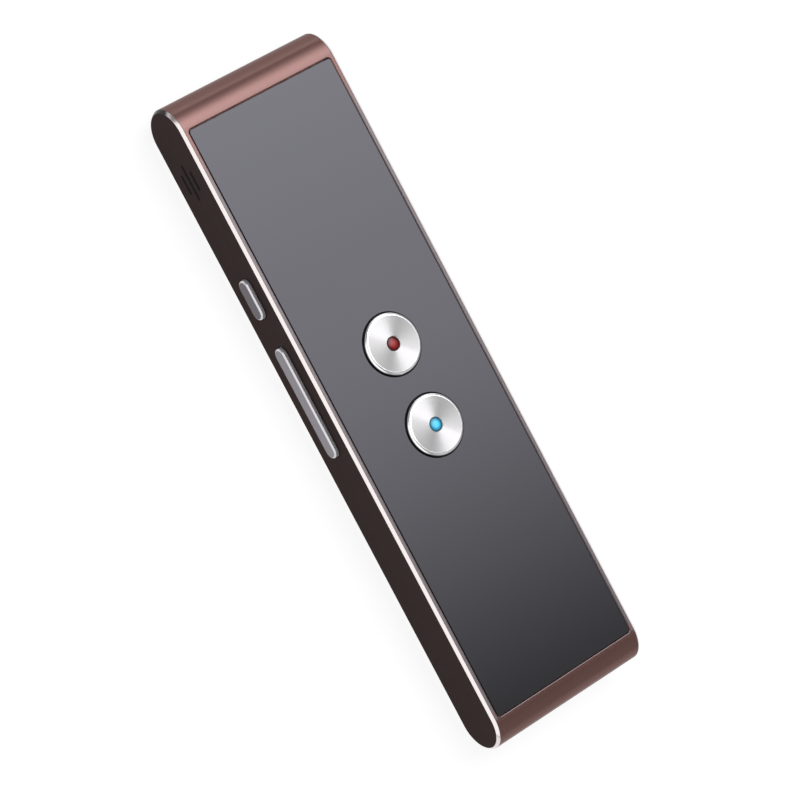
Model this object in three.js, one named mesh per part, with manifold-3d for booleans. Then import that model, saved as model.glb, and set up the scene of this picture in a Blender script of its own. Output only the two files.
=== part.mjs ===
import * as THREE from "three";
import { mergeVertices } from "three/addons/utils/BufferGeometryUtils.js";
import Module from "manifold-3d";

const wasm = await Module();
wasm.setup();

// A slim hand-held voice translator that lies on its back, in millimetres.
// +Z points out of the front glass, +Y towards the speaker end, and the two side keys are on the -X side.
// The origin is the middle of the flat back. Low end and high end mean the -Y and +Y ends.

// Body: a bar whose ends are full half rounds, with a polished chamfer round each flat side
const bodyLength = 142;
const bodyWidth = 39;
const bodyDepth = 12;
const sideChamfer = 0.75;
const sideWall = 1.5;
const floorWall = 1.2;
const deckWall = 2.2;
const endRadius = bodyDepth / 2;
const midHeight = bodyDepth / 2;
const flatHalf = bodyLength / 2 - endRadius;
const cavityHalfWidth = bodyWidth / 2 - sideWall;
const cavityTop = bodyDepth - deckWall;
const cavityRadius = (cavityTop - floorWall) / 2;
const cavityMid = (cavityTop + floorWall) / 2;

// Front window: a pocket for the glass, and a ledge that carries its adhesive
const rimWidth = 1.5;
const rimEnd = 0.05;
const glassShift = -0.25;
const pocketCorner = 0.8;
const rimBreakWidth = 0.22;
const rimBreakDepth = 0.08;
const ledgeWidth = 1.3;
const glassThickness = 1;
const glassGap = 0.25;
const adhesiveThickness = 0.2;
const adhesiveWidth = 1;
const pocketHalfX = bodyWidth / 2 - rimWidth;
const pocketHalfY = flatHalf - rimEnd;
const pocketFloor = bodyDepth - glassThickness - adhesiveThickness;
const windowHalfX = pocketHalfX - ledgeWidth;
const windowHalfY = pocketHalfY - ledgeWidth;
const windowCorner = pocketCorner;

// Clearances and the overrun of every cut
const overrun = 2;
const fitGap = 0.3;
const runGap = 0.05;
const wireGap = 0.1;
const boardGap = 0.5;

// Middle frame: the plate under the glass that guides the buttons
const plateThickness = 1.2;
const plateDrop = 0.2;
const plateTop = pocketFloor - plateDrop;
const plateBottom = plateTop - plateThickness;
const plateHalfX = windowHalfX - fitGap;
const plateHalfY = windowHalfY - fitGap;
const hookWidth = 5;
const hookReach = 1.2;
const hookThickness = 0.9;
const hookSpacing = 16;
const ribWidth = 1;
const ribSpacing = 9;

// Front buttons
const buttonPitch = 18;
const buttonRadius = 6.35;
const buttonProud = 0.9;
const buttonBevel = 0.65;
const buttonDish = 0.12;
const capThickness = 1.3;
const capGap = 0.3;
const buttonTravel = 0.4;
const lensRadius = 1.4;
const lensGap = 0.1;
const lensDome = 0.25;
const carrierRadius = 5.6;
const carrierGap = 0.4;
const flangeLip = 1.2;
const flangeThickness = 0.5;
const shroudWall = 0.8;
const shroudDepth = 1;
const capTop = bodyDepth + buttonProud;
const capBottom = capTop - capThickness;
const plateHole = carrierRadius + carrierGap;
const flangeRadius = plateHole + flangeLip;
const flangeTop = plateBottom - runGap;
const flangeBottom = flangeTop - flangeThickness;

// Tactile switches under the front buttons
const switchSize = 6;
const switchProud = 0.8;
const switchPlungerRadius = 1.75;
const switchPlungerSunk = 0.9;
const switchBoreGap = 0.25;
const switchBoreSpare = 0.2;

// Charging socket in the +X side, and the height of both circuit boards, which it sets
const socketWidth = 7.5;
const socketHeight = 2.7;
const socketDepth = 5.2;
const socketSheet = 0.3;
const socketCorner = 0.9;
const socketRecess = 0.5;
const socketGap = 0.35;
const tongueThickness = 0.7;
const tongueSideGap = 0.9;
const tongueBack = 1.4;
const boardThickness = 0.8;
const boardTop = midHeight - socketHeight / 2;
const boardBottom = boardTop - boardThickness;
const socketMouth = bodyWidth / 2 - socketRecess;
const socketBack = socketMouth - socketDepth;
const switchTop = flangeBottom - switchProud;

// Screws, and the posts and bosses that they go into
const shankRadius = 0.65;
const headRadius = 1.4;
const headHeight = 0.6;
const screwHoleGap = 0.15;
const frameScrewLength = 4.5;
const screwTipGap = 0.85;
const boardScrewLength = boardTop - floorWall - screwTipGap;
const postRadius = 2;
const bossRadius = 1.9;
const postInset = 3.2;
const postX = cavityHalfWidth - postInset;

// Small board at the low end, for the microphone
const endBoardLength = 12;
const endBoardInset = 2.5;
const endBoardStart = -(flatHalf + endBoardInset);
const endBoardEnd = endBoardStart + endBoardLength;
const endBoardSideGap = 2.8;
const endBoardHalfX = cavityHalfWidth - endBoardSideGap;
const endScrewInset = 2.8;

// Speaker that fires out of the -X side, behind three slots
const slotsInset = 9.6;
const slotWidth = 0.85;
const slotSpacing = 1.95;
const slotsDrop = 0.4;
const longSlot = 7.8;
const shortSlot = 4.4;
const speakerLength = 15;
const speakerThickness = 3;
const speakerRim = 1;
const coneDepth = 0.6;
const coneSheet = 0.35;
const magnetLength = 8.4;
const magnetHeight = 5;
const magnetThickness = 0.8;
const magnetSunk = 0.6;
const gasketThickness = 0.8;
const gasketWall = 1.2;
const meshThickness = 0.2;
const slotsY = flatHalf - slotsInset;
const slotsZ = midHeight - slotsDrop;
const speakerHeight = plateBottom - floorWall - 2 * fitGap;
const speakerMid = (plateBottom + floorWall) / 2;
const meshX = -cavityHalfWidth;
const gasketX = meshX + meshThickness;
const speakerX = gasketX + gasketThickness;
const speakerBackX = speakerX + speakerThickness;
const speakerStart = slotsY - speakerLength / 2;
const speakerEnd = slotsY + speakerLength / 2;
const speakerRibWall = 0.8;
const speakerRibDrop = 3.4;
const speakerStopHeight = 2.4;

// Side keys on the -X side
const keyWidth = 3.4;
const keyProud = 0.78;
const keyBevel = 0.35;
const keyGap = 0.2;
const keyDeckGap = 0.8;
const keyLip = cavityTop - midHeight - keyDeckGap - keyWidth / 2;
const keyFlange = 0.7;
const powerKeyInset = 25.7;
const powerKeyLength = 8.7;
const volumeKeyLength = 24.3;
const keySpacing = 22.85;
const powerKeyY = slotsY - powerKeyInset;
const volumeKeyY = powerKeyY - keySpacing;
const rockerGap = 0.5;
const rockerRidge = 0.45;
const nubRadius = 0.7;
const plungerArm = 9;
const keyFaceX = -(bodyWidth / 2 + keyProud);

// Side switches, on a flexible circuit that a steel bracket backs
const bracketInset = 4.5;
const bracketSheet = 0.4;
const bracketMargin = 1.4;
const bracketHeadroom = 1.2;
const bracketHalfHeight = plateBottom - midHeight - bracketHeadroom;
const bracketTabX = 3.6;
const bracketTabY = 4.6;
const flexSheet = 0.2;
const flexInset = 0.4;
const flexHalfHeight = bracketHalfHeight - flexInset;
const sideSwitchLength = 3.6;
const sideSwitchHeight = 3;
const sideSwitchThickness = 1.8;
const sidePlungerRadius = 0.8;
const sidePlungerProud = 0.6;
const sidePlungerSunk = 0.8;
const sideBoreGap = 0.2;
const sideSwitchBack = 0.4;
const bracketX = -(cavityHalfWidth - bracketInset);
const sideSwitchX = bracketX - flexSheet;
const plungerTipX = sideSwitchX - sideSwitchThickness - sidePlungerProud;
const nubTipX = plungerTipX - runGap;
const bracketStart = volumeKeyY - volumeKeyLength / 2 - bracketMargin;
const bracketEnd = powerKeyY + powerKeyLength / 2 + bracketMargin;
const flexTailWidth = 5;
const flexTailReach = 2.6;
const flexTailBend = 0.6;

// Main board
const mainBoardRight = cavityHalfWidth - boardGap;
const mainBoardEndMargin = 1.1;
const ribbonConnector = [7, 2.4, 1.1];
const connectorMargin = 0.6;
const connectorRow = ribbonConnector[1] + connectorMargin + boardGap;
const mainBoardStart = Math.min(bracketStart, -(buttonPitch + switchSize) / 2) - connectorRow;
const mainBoardEnd = plateHalfY + glassShift - mainBoardEndMargin;
const mainBoardLeft = bracketX + bracketSheet + fitGap;
const speakerRibX = speakerBackX + fitGap;
const boardNotchX = speakerRibX + speakerRibWall + fitGap;
const screwInset = 2.6;

// Rows of tall posts that carry the middle frame
const lowRowY = endBoardEnd + boardGap + postRadius;
const midRowY = mainBoardStart - boardGap - postRadius;
const highRowY = speakerStart - speakerRibWall - fitGap - boardGap - postRadius;

// Battery, between the two lower rows of posts
const batteryGap = 0.6;
const batterySideGap = 3.8;
const batteryHalfX = cavityHalfWidth - batterySideGap;
const batteryCorner = 1.2;
const batteryHeadroom = 2.2;
const tapeThickness = 0.2;
const tapeInset = 3;
const guardDepth = 2.4;
const guardWidth = 18;
const guardHeight = 2;
const guardRaise = 1.2;
const batteryStart = lowRowY + postRadius + batteryGap;
const batteryEnd = midRowY - postRadius - batteryGap - guardDepth;
const batteryTop = plateBottom - batteryHeadroom;
const batteryBottom = floorWall + tapeThickness;
const guardBottom = batteryBottom + guardRaise;

// Leads
const leadRadius = 0.45;
const leadPitch = 1.6;
const leadSides = 6;
const leadSteps = 10;

// Microphone at the low end, in a rubber boot
const micRadius = 2;
const micThickness = 1.6;
const bootWall = 0.55;
const bootGap = 0.1;
const bootLength = 2.7;
const snoutRadius = 1.1;
const soundHole = 0.5;
const pinPitch = 1.9;
const pinWidth = 0.45;
const cradleWall = 1.2;
const cradleHalfX = 3.4;
const bootRadius = micRadius + bootGap + bootWall;
const bootReach = Math.sqrt(cavityRadius ** 2 - (bootRadius + bootGap) ** 2);
const bootFaceY = -(flatHalf + bootReach);
const snoutReach = Math.sqrt(cavityRadius ** 2 - snoutRadius ** 2) - bootGap;
const snoutEndY = -(flatHalf + snoutReach);

// Parts that sit on the main board, as width, length and height
const ledSize = [2, 1.25, 1.1];
const ledGap = 0.9;
const processorSize = [7, 7, 0.9];
const crystalSize = [2.5, 3.2, 0.8];
const amplifierSize = [4, 4, 0.8];
const antennaSize = [6, 2.2, 1.2];
const shieldSheet = 0.3;
const headerSize = [5.6, 3.8, 2];
const headerWall = 0.6;
const plugSize = [4, 2.6, 2.2];
const plugGap = 0.15;
const socketDrop = 3.7;
const socketY = powerKeyY - socketDrop;
const shieldGap = 2;
const shieldTailGap = 5.7;
const shieldStart = bracketX + bracketSheet + flexTailBend + flexTailReach + shieldTailGap;
const shieldSize = [socketBack - shieldGap - shieldStart, 14, 1.9];
const shieldX = shieldStart + shieldSize[0] / 2;
const chipSpacing = 1;
const shieldY = (buttonPitch + switchSize + shieldSize[1]) / 2 + shieldGap;
const crystalY = shieldY + processorSize[1] / 2 + chipSpacing;
const amplifierX = 2;
const amplifierY = speakerStart + amplifierSize[1] / 2;
const headerX = 9.5;
const ribbonWidth = 6;
const ribbonX = ribbonConnector[0] / 2 + boardGap + headRadius + endScrewInset - endBoardHalfX;
const ribbonLift = 0.4;
const ribbonSheet = 0.25;
const ribbonRun = 3.2;

// Smoothness of the round faces
const endSteps = 24;
const buttonSteps = 40;
const postSteps = 10;
const pillSteps = 5;
const keySteps = 10;
const roundSteps = 20;
const cornerSteps = 3;

// Finishes
function finish(color, roughness, metalness) {
  return new THREE.MeshStandardMaterial({ color, roughness, metalness });
}

const anodised = finish(0x6e4a42, 0.34, 0.85);
const blackGlass = finish(0x17171b, 0.06, 0);
const spunAluminium = finish(0xd9dadc, 0.22, 1);
const keyAluminium = finish(0xb9babd, 0.24, 1);
const redLens = finish(0xb0322d, 0.2, 0);
const blueLens = finish(0x2fa8e6, 0.2, 0);
const blackPlastic = finish(0x1d1d20, 0.6, 0);
const whitePlastic = finish(0xe9e6dc, 0.5, 0);
const boardGreen = finish(0x1f5a3a, 0.45, 0);
const flexAmber = finish(0x9a5a1c, 0.4, 0);
const foil = finish(0xb4b7ba, 0.35, 0.8);
const steel = finish(0xa9abae, 0.35, 1);
const blackRubber = finish(0x202022, 0.85, 0);
const foam = finish(0x2c2c2e, 0.95, 0);
const clearTape = finish(0xd8d4c4, 0.5, 0);
const redWire = finish(0xb8231f, 0.5, 0);
const blackWire = finish(0x19191b, 0.5, 0);
const chipBlack = finish(0x222226, 0.55, 0);

// A closed geometry as a solid that can be joined and cut
function solid(geometry) {
  const bare = geometry.clone();
  bare.deleteAttribute("normal");
  bare.deleteAttribute("uv");
  const merged = mergeVertices(bare);
  const corners = merged.index.array;
  const kept = [];
  for (let i = 0; i < corners.length; i += 3) {
    const [a, b, c] = corners.slice(i, i + 3);
    if (a !== b && b !== c && c !== a) kept.push(a, b, c);
  }
  return new wasm.Manifold(
    new wasm.Mesh({
      numProp: 3,
      vertProperties: new Float32Array(merged.attributes.position.array),
      triVerts: new Uint32Array(kept),
    }),
  );
}

// A solid's surface as a geometry
function surface(body) {
  const mesh = body.getMesh();
  const geometry = new THREE.BufferGeometry();
  geometry.setAttribute("position", new THREE.BufferAttribute(mesh.vertProperties, 3));
  geometry.setIndex(new THREE.BufferAttribute(mesh.triVerts, 1));
  geometry.computeVertexNormals();
  return geometry;
}

function joined(bodies) {
  return bodies.reduce((sum, body) => sum.add(body));
}

function cutBy(body, tools) {
  return tools.reduce((left, tool) => left.subtract(tool), body);
}

// A box between two corners
function block(low, high) {
  const size = high.map((value, axis) => value - low[axis]);
  const geometry = new THREE.BoxGeometry(...size);
  geometry.translate(...low.map((value, axis) => value + size[axis] / 2));
  return solid(geometry);
}

function rectangle(halfX, halfY, corner) {
  const shape = new THREE.Shape();
  shape.moveTo(-halfX + corner, -halfY);
  shape.lineTo(halfX - corner, -halfY);
  shape.absarc(halfX - corner, -halfY + corner, corner, -Math.PI / 2, 0);
  shape.lineTo(halfX, halfY - corner);
  shape.absarc(halfX - corner, halfY - corner, corner, 0, Math.PI / 2);
  shape.lineTo(-halfX + corner, halfY);
  shape.absarc(-halfX + corner, halfY - corner, corner, Math.PI / 2, Math.PI);
  shape.lineTo(-halfX, -halfY + corner);
  shape.absarc(-halfX + corner, -halfY + corner, corner, Math.PI, 1.5 * Math.PI);
  return shape;
}

// A straight slot shape with round ends, along its first axis, round a centre
function pill(length, width, centreA, centreB) {
  const radius = width / 2;
  const straight = length / 2 - radius;
  const shape = new THREE.Shape();
  shape.moveTo(centreA - straight, centreB - radius);
  shape.lineTo(centreA + straight, centreB - radius);
  shape.absarc(centreA + straight, centreB, radius, -Math.PI / 2, Math.PI / 2);
  shape.lineTo(centreA - straight, centreB + radius);
  shape.absarc(centreA - straight, centreB, radius, Math.PI / 2, 1.5 * Math.PI);
  return shape;
}

function circle(radius, x, y) {
  return new THREE.Shape().absarc(x, y, radius, 0, 2 * Math.PI);
}

// A shape drawn in X and Y, pulled up from one height to another
function pulledUp(shape, low, high, curveSegments) {
  const options = { depth: high - low, bevelEnabled: false, curveSegments };
  return new THREE.ExtrudeGeometry(shape, options).translate(0, 0, low);
}

// Turns a geometry so that its X, Y and Z become Y, Z and X
function sideways(geometry) {
  return geometry.rotateX(Math.PI / 2).rotateZ(Math.PI / 2);
}

// A shape drawn in Y and Z, pulled along X
function pulledAcross(shape, low, high, curveSegments) {
  return sideways(pulledUp(shape, low, high, curveSegments));
}

// A round bar along Y, with its middle line at a given X and Z
function barAlong(radius, x, z, low, high, sides) {
  const geometry = new THREE.CylinderGeometry(radius, radius, high - low, sides);
  geometry.translate(x, (low + high) / 2, z);
  return solid(geometry);
}

function upright(radius, x, y, low, high, sides) {
  return solid(pulledUp(circle(radius, x, y), low, high, sides));
}

// A profile of radius and height, turned about the Z axis
function turned(profile, steps) {
  const points = profile.map(([radius, height]) => new THREE.Vector2(radius, height));
  return new THREE.LatheGeometry(points, steps).rotateX(Math.PI / 2);
}

function named(name, geometry, material) {
  const mesh = new THREE.Mesh(geometry, material);
  mesh.name = name;
  return mesh;
}

function placed(mesh, x, y, z) {
  mesh.position.set(x, y, z);
  return mesh;
}

// Places that several pieces share
const buttonRows = [
  ["red", buttonPitch / 2],
  ["blue", -buttonPitch / 2],
];
const posts = [lowRowY, highRowY].flatMap((y) => [
  [-postX, y],
  [postX, y],
]);
const plainPosts = [
  [-postX, midRowY],
  [postX, midRowY],
];
const tabScrewX = bracketX + bracketSheet + bracketTabX / 2;
const tabScrews = [
  [tabScrewX, bracketStart + bracketTabY / 2],
  [tabScrewX, bracketEnd - bracketTabY / 2],
];
const boardScrews = [
  [mainBoardRight - screwInset, 0],
  [mainBoardRight - screwInset, mainBoardEnd - screwInset],
];
const endScrews = [-1, 1].map((side) => [
  side * (endBoardHalfX - endScrewInset),
  endBoardEnd - endScrewInset,
]);
const lowScrews = [...tabScrews, ...boardScrews, ...endScrews];
const slots = [
  [longSlot, 0],
  [shortSlot, slotSpacing],
  [shortSlot, -slotSpacing],
];
const keys = [
  [powerKeyY, powerKeyLength],
  [volumeKeyY, volumeKeyLength],
];
const plungerRows = [
  ["volume_up", volumeKeyY + plungerArm],
  ["volume_down", volumeKeyY - plungerArm],
];

// Housing

// The bar's side outline, drawn in Y and Z
function barOutline(radius, middle) {
  const shape = new THREE.Shape();
  shape.moveTo(-flatHalf, middle - radius);
  shape.lineTo(flatHalf, middle - radius);
  shape.absarc(flatHalf, middle, radius, -Math.PI / 2, Math.PI / 2);
  shape.lineTo(-flatHalf, middle + radius);
  shape.absarc(-flatHalf, middle, radius, Math.PI / 2, 1.5 * Math.PI);
  return shape;
}

function outerBar() {
  const geometry = new THREE.ExtrudeGeometry(barOutline(endRadius, midHeight), {
    depth: bodyWidth - 2 * sideChamfer,
    bevelThickness: sideChamfer,
    bevelSize: sideChamfer,
    bevelOffset: -sideChamfer,
    bevelSegments: 1,
    curveSegments: endSteps,
  });
  geometry.translate(0, 0, sideChamfer - bodyWidth / 2);
  return solid(sideways(geometry));
}

function cavity() {
  const outline = barOutline(cavityRadius, cavityMid);
  return solid(pulledAcross(outline, -cavityHalfWidth, cavityHalfWidth, endSteps / 2));
}

// A pocket for the glass whose rim is broken by a shallow slope, and the opening under it
function windowCuts() {
  const pocket = rectangle(pocketHalfX, pocketHalfY, pocketCorner);
  const opening = rectangle(windowHalfX, windowHalfY, windowCorner);
  const slope = new THREE.ExtrudeGeometry(pocket, {
    depth: overrun,
    bevelThickness: rimBreakDepth,
    bevelSize: rimBreakWidth,
    bevelSegments: 1,
    curveSegments: cornerSteps,
  });
  return [
    solid(slope.translate(0, 0, bodyDepth)),
    solid(pulledUp(pocket, pocketFloor, bodyDepth + overrun, cornerSteps)),
    solid(pulledUp(opening, cavityMid, bodyDepth + overrun, cornerSteps)),
  ].map((cut) => cut.translate([0, glassShift, 0]));
}

// A slot through the -X wall
function wallCut(length, width, y, z) {
  const outside = -bodyWidth / 2 - overrun;
  const inside = -cavityHalfWidth + overrun / 2;
  return solid(pulledAcross(pill(length, width, y, z), outside, inside, pillSteps));
}

function keySlots() {
  return keys.map(([y, length]) => wallCut(length + 2 * keyGap, keyWidth + 2 * keyGap, y, midHeight));
}

function speakerSlots() {
  return slots.map(([length, lift]) => wallCut(length, slotWidth, slotsY, slotsZ + lift));
}

// The charging socket's outline, drawn in Y and Z: flat on top, with its two lower corners cut
function socketOutline(grow) {
  const half = socketWidth / 2 + grow;
  const top = socketHeight / 2 + grow;
  const cut = socketCorner + grow / 2;
  const shape = new THREE.Shape();
  shape.moveTo(-half, top);
  shape.lineTo(-half, -top + cut);
  shape.lineTo(-half + cut, -top);
  shape.lineTo(half - cut, -top);
  shape.lineTo(half, -top + cut);
  shape.lineTo(half, top);
  return shape;
}

// The socket's outline pulled along X, at the socket's place
function socketBar(grow, low, high) {
  const geometry = pulledAcross(socketOutline(grow), low, high, 1);
  geometry.translate(0, socketY, midHeight);
  return solid(geometry);
}

// The openings for the charging socket and for the microphone
function portCuts() {
  const lowEnd = -bodyLength / 2;
  return [
    socketBar(socketGap, cavityHalfWidth - overrun / 2, bodyWidth / 2 + overrun),
    barAlong(soundHole, 0, cavityMid, lowEnd - overrun, -flatHalf, postSteps),
  ];
}

// Posts and bosses stand a little into the floor, and each has a blind hole for its screw
function standingPosts() {
  const root = floorWall / 2;
  const tall = ([x, y]) => upright(postRadius, x, y, root, plateBottom, postSteps);
  const low = ([x, y]) => upright(bossRadius, x, y, root, boardBottom, postSteps);
  return [...[...posts, ...plainPosts].map(tall), ...lowScrews.map(low)];
}

function screwHoles() {
  const radius = shankRadius + screwHoleGap;
  const foot = plateBottom - frameScrewLength;
  const tall = ([x, y]) => upright(radius, x, y, foot, plateBottom + overrun, postSteps);
  const low = ([x, y]) => upright(radius, x, y, floorWall, boardBottom + overrun, postSteps);
  return [...posts.map(tall), ...lowScrews.map(low)];
}

// Two stops that hold the speaker's ends, and the cradle under the microphone's boot
function floorStops() {
  const root = floorWall / 2;
  const stopTop = floorWall + speakerStopHeight;
  const stops = [speakerStart - fitGap - speakerRibWall, speakerEnd + fitGap].map((y) =>
    block([speakerX, y, root], [speakerBackX, y + speakerRibWall, stopTop]),
  );
  const cradleY = bootFaceY + bootLength / 2;
  const cradle = block(
    [-cradleHalfX, cradleY - cradleWall / 2, root],
    [cradleHalfX, cradleY + cradleWall / 2, cavityMid - bootGap],
  );
  const seatRadius = bootRadius + bootGap;
  const seat = barAlong(seatRadius, 0, cavityMid, cradleY - overrun, cradleY + overrun, roundSteps);
  return [...stops, cradle.subtract(seat)];
}

function housing() {
  const openings = [...windowCuts(), ...keySlots(), ...speakerSlots(), ...portCuts()];
  const shell = cutBy(outerBar(), [cavity(), ...openings]);
  const furnished = joined([shell, ...floorStops(), ...standingPosts()]);
  return named("housing", surface(cutBy(furnished, screwHoles())), anodised);
}

// Front glass and its adhesive

function frontGlass() {
  const outline = rectangle(pocketHalfX - glassGap, pocketHalfY - glassGap, pocketCorner - glassGap);
  for (const [, y] of buttonRows) outline.holes.push(circle(buttonRadius + capGap, 0, y - glassShift));
  const geometry = pulledUp(outline, bodyDepth - glassThickness, bodyDepth, buttonSteps / 2);
  return placed(named("front_glass", geometry, blackGlass), 0, glassShift, 0);
}

function glassAdhesive() {
  const outer = rectangle(pocketHalfX - glassGap, pocketHalfY - glassGap, pocketCorner - glassGap);
  const innerX = pocketHalfX - glassGap - adhesiveWidth;
  const innerY = pocketHalfY - glassGap - adhesiveWidth;
  outer.holes.push(rectangle(innerX, innerY, pocketCorner / 2));
  const geometry = pulledUp(outer, pocketFloor, bodyDepth - glassThickness, cornerSteps);
  return placed(named("glass_adhesive", geometry, clearTape), 0, glassShift, 0);
}

// Middle frame

function framePlate() {
  const corner = windowCorner - fitGap;
  const outline = rectangle(plateHalfX, plateHalfY, corner);
  const plate = solid(pulledUp(outline, plateBottom, plateTop, cornerSteps)).translate([0, glassShift, 0]);
  const shroudInner = flangeRadius + fitGap;
  const shroudLow = plateBottom - shroudDepth;
  const shrouds = buttonRows.map(([, y]) => {
    const outer = upright(shroudInner + shroudWall, 0, y, shroudLow, plateBottom + runGap, roundSteps);
    const inner = upright(shroudInner, 0, y, shroudLow - overrun, plateBottom, roundSteps);
    return outer.subtract(inner);
  });
  return [plate, ...shrouds];
}

// Hooks that reach under the housing's deck at the high end
function frameHooks() {
  const top = cavityTop - fitGap / 2;
  return [-1, 1].map((side) => {
    const x = (side * hookSpacing) / 2;
    return block(
      [x - hookWidth / 2, glassShift + plateHalfY - hookReach, top - hookThickness],
      [x + hookWidth / 2, glassShift + windowHalfY + hookReach, top],
    );
  });
}

// Ribs that keep the battery down, and the wall that backs the speaker
function frameRibs() {
  const hold = [0, 1].map((step) => {
    const x = step * ribSpacing;
    return block(
      [x, batteryStart + tapeInset, batteryTop + fitGap],
      [x + ribWidth, batteryEnd - tapeInset, plateBottom + runGap],
    );
  });
  const back = block(
    [speakerRibX, slotsY - magnetLength / 2, plateBottom - speakerRibDrop],
    [speakerRibX + speakerRibWall, slotsY + magnetLength / 2, plateBottom + runGap],
  );
  return [...hold, back];
}

function frameScrewCuts() {
  const seat = plateTop - headHeight - screwHoleGap;
  return posts.flatMap(([x, y]) => [
    upright(shankRadius + screwHoleGap, x, y, plateBottom - overrun, plateTop + overrun, postSteps),
    upright(headRadius + screwHoleGap, x, y, seat, plateTop + overrun, postSteps),
  ]);
}

function middleFrame() {
  const body = joined([...framePlate(), ...frameHooks(), ...frameRibs()]);
  const holes = upright(plateHole, 0, 0, plateBottom - overrun, plateTop + overrun, roundSteps);
  const guides = buttonRows.map(([, y]) => holes.translate([0, y, 0]));
  return named("middle_frame", surface(cutBy(body, [...guides, ...frameScrewCuts()])), blackPlastic);
}

// Buttons, built about their own middle line

function buttonCap(colour) {
  const inner = lensRadius + lensGap;
  const profile = [
    [inner, capBottom],
    [buttonRadius, capBottom],
    [buttonRadius, capTop - buttonBevel],
    [buttonRadius - buttonBevel, capTop],
    [inner, capTop - buttonDish],
    [inner, capBottom],
  ];
  return named(colour + "_button_cap", turned(profile, buttonSteps), spunAluminium);
}

// The clear carrier under a cap: a flange that the frame holds in, a hub, and a domed lens in the cap's hole
function buttonLens(colour, material) {
  const lensTop = capTop - buttonDish;
  const profile = [
    [0, flangeBottom],
    [flangeRadius, flangeBottom],
    [flangeRadius, flangeTop],
    [carrierRadius, flangeTop],
    [carrierRadius, capBottom],
    [lensRadius, capBottom],
    [lensRadius, lensTop - lensDome],
    [lensRadius * Math.cos(Math.PI / 4), lensTop - lensDome * (1 - Math.sin(Math.PI / 4))],
    [0, lensTop],
  ];
  return named(colour + "_button_lens", turned(profile, buttonSteps), material);
}

function switchPlunger(name, top, sunkTop) {
  const low = sunkTop - switchPlungerSunk;
  return named(name, surface(upright(switchPlungerRadius, 0, 0, low, top, postSteps)), blackPlastic);
}

function frontButton(colour, y, lensMaterial) {
  const group = new THREE.Group();
  group.position.y = y;
  group.add(buttonCap(colour));
  group.add(buttonLens(colour, lensMaterial));
  group.add(switchPlunger(colour + "_switch_plunger", flangeBottom, switchTop));
  return group;
}

function frontSwitch(colour, y) {
  const half = switchSize / 2;
  const bore = switchPlungerSunk + buttonTravel + switchBoreSpare;
  const body = block([-half, -half, boardTop], [half, half, switchTop]);
  const boreRadius = switchPlungerRadius + switchBoreGap;
  const hole = upright(boreRadius, 0, 0, switchTop - bore, switchTop + overrun, postSteps);
  return placed(named(colour + "_switch_body", surface(body.subtract(hole)), steel), 0, y, 0);
}

function onBoard(name, [width, length, height], x, y, material) {
  const geometry = new THREE.BoxGeometry(width, length, height);
  return placed(named(name, geometry, material), x, y, boardTop + height / 2);
}

function buttonLed(colour, y, material) {
  return onBoard(colour + "_led", ledSize, switchSize / 2 + ledGap + ledSize[0] / 2, y, material);
}

// Side keys

// A pill-shaped key that runs through the wall, with a flange inside
function keyBody(y, length, flangeX) {
  const stem = new THREE.ExtrudeGeometry(pill(length, keyWidth, y, midHeight), {
    depth: flangeX + keyFlange - keyFaceX - 2 * keyBevel,
    bevelThickness: keyBevel,
    bevelSize: keyBevel,
    bevelOffset: -keyBevel,
    bevelSegments: 2,
    curveSegments: keySteps,
  });
  stem.translate(0, 0, keyFaceX + keyBevel);
  const outline = pill(length + 2 * keyLip, keyWidth + 2 * keyLip, y, midHeight);
  const flange = solid(pulledAcross(outline, flangeX, flangeX + keyFlange, pillSteps));
  return solid(sideways(stem)).add(flange);
}

// A small round nub along X that pushes a switch
function nub(y, low) {
  return solid(pulledAcross(circle(nubRadius, y, midHeight), low, nubTipX, postSteps));
}

function powerKey() {
  const flangeX = -cavityHalfWidth + runGap;
  const body = keyBody(powerKeyY, powerKeyLength, flangeX).add(nub(powerKeyY, flangeX + keyFlange / 2));
  return named("power_key", surface(body), keyAluminium);
}

// The long key rocks on a round ridge that bears on the wall's inner face
function volumeKey() {
  const flangeX = -cavityHalfWidth + rockerGap;
  const ridgeX = -cavityHalfWidth + runGap + rockerRidge;
  const halfRidge = keyWidth / 2 + keyLip;
  const [low, high] = [midHeight - halfRidge, midHeight + halfRidge];
  const ridge = upright(rockerRidge, ridgeX, volumeKeyY, low, high, postSteps);
  const nubs = plungerRows.map(([, y]) => nub(y, flangeX + keyFlange / 2));
  const body = joined([keyBody(volumeKeyY, volumeKeyLength, flangeX), ridge, ...nubs]);
  return named("volume_key", surface(body), keyAluminium);
}

function sidePlunger(name, y) {
  const end = plungerTipX + sidePlungerProud + sidePlungerSunk;
  const geometry = pulledAcross(circle(sidePlungerRadius, 0, 0), plungerTipX, end, postSteps);
  return placed(named(name, geometry, whitePlastic), 0, y, midHeight);
}

function sideSwitch(name, y) {
  const halfY = sideSwitchLength / 2;
  const halfZ = sideSwitchHeight / 2;
  const front = sideSwitchX - sideSwitchThickness;
  const body = block([front, -halfY, -halfZ], [sideSwitchX, halfY, halfZ]);
  const bore = circle(sidePlungerRadius + sideBoreGap, 0, 0);
  const hole = solid(pulledAcross(bore, front - overrun, sideSwitchX - sideSwitchBack, postSteps));
  return placed(named(name, surface(body.subtract(hole)), steel), 0, y, midHeight);
}

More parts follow.
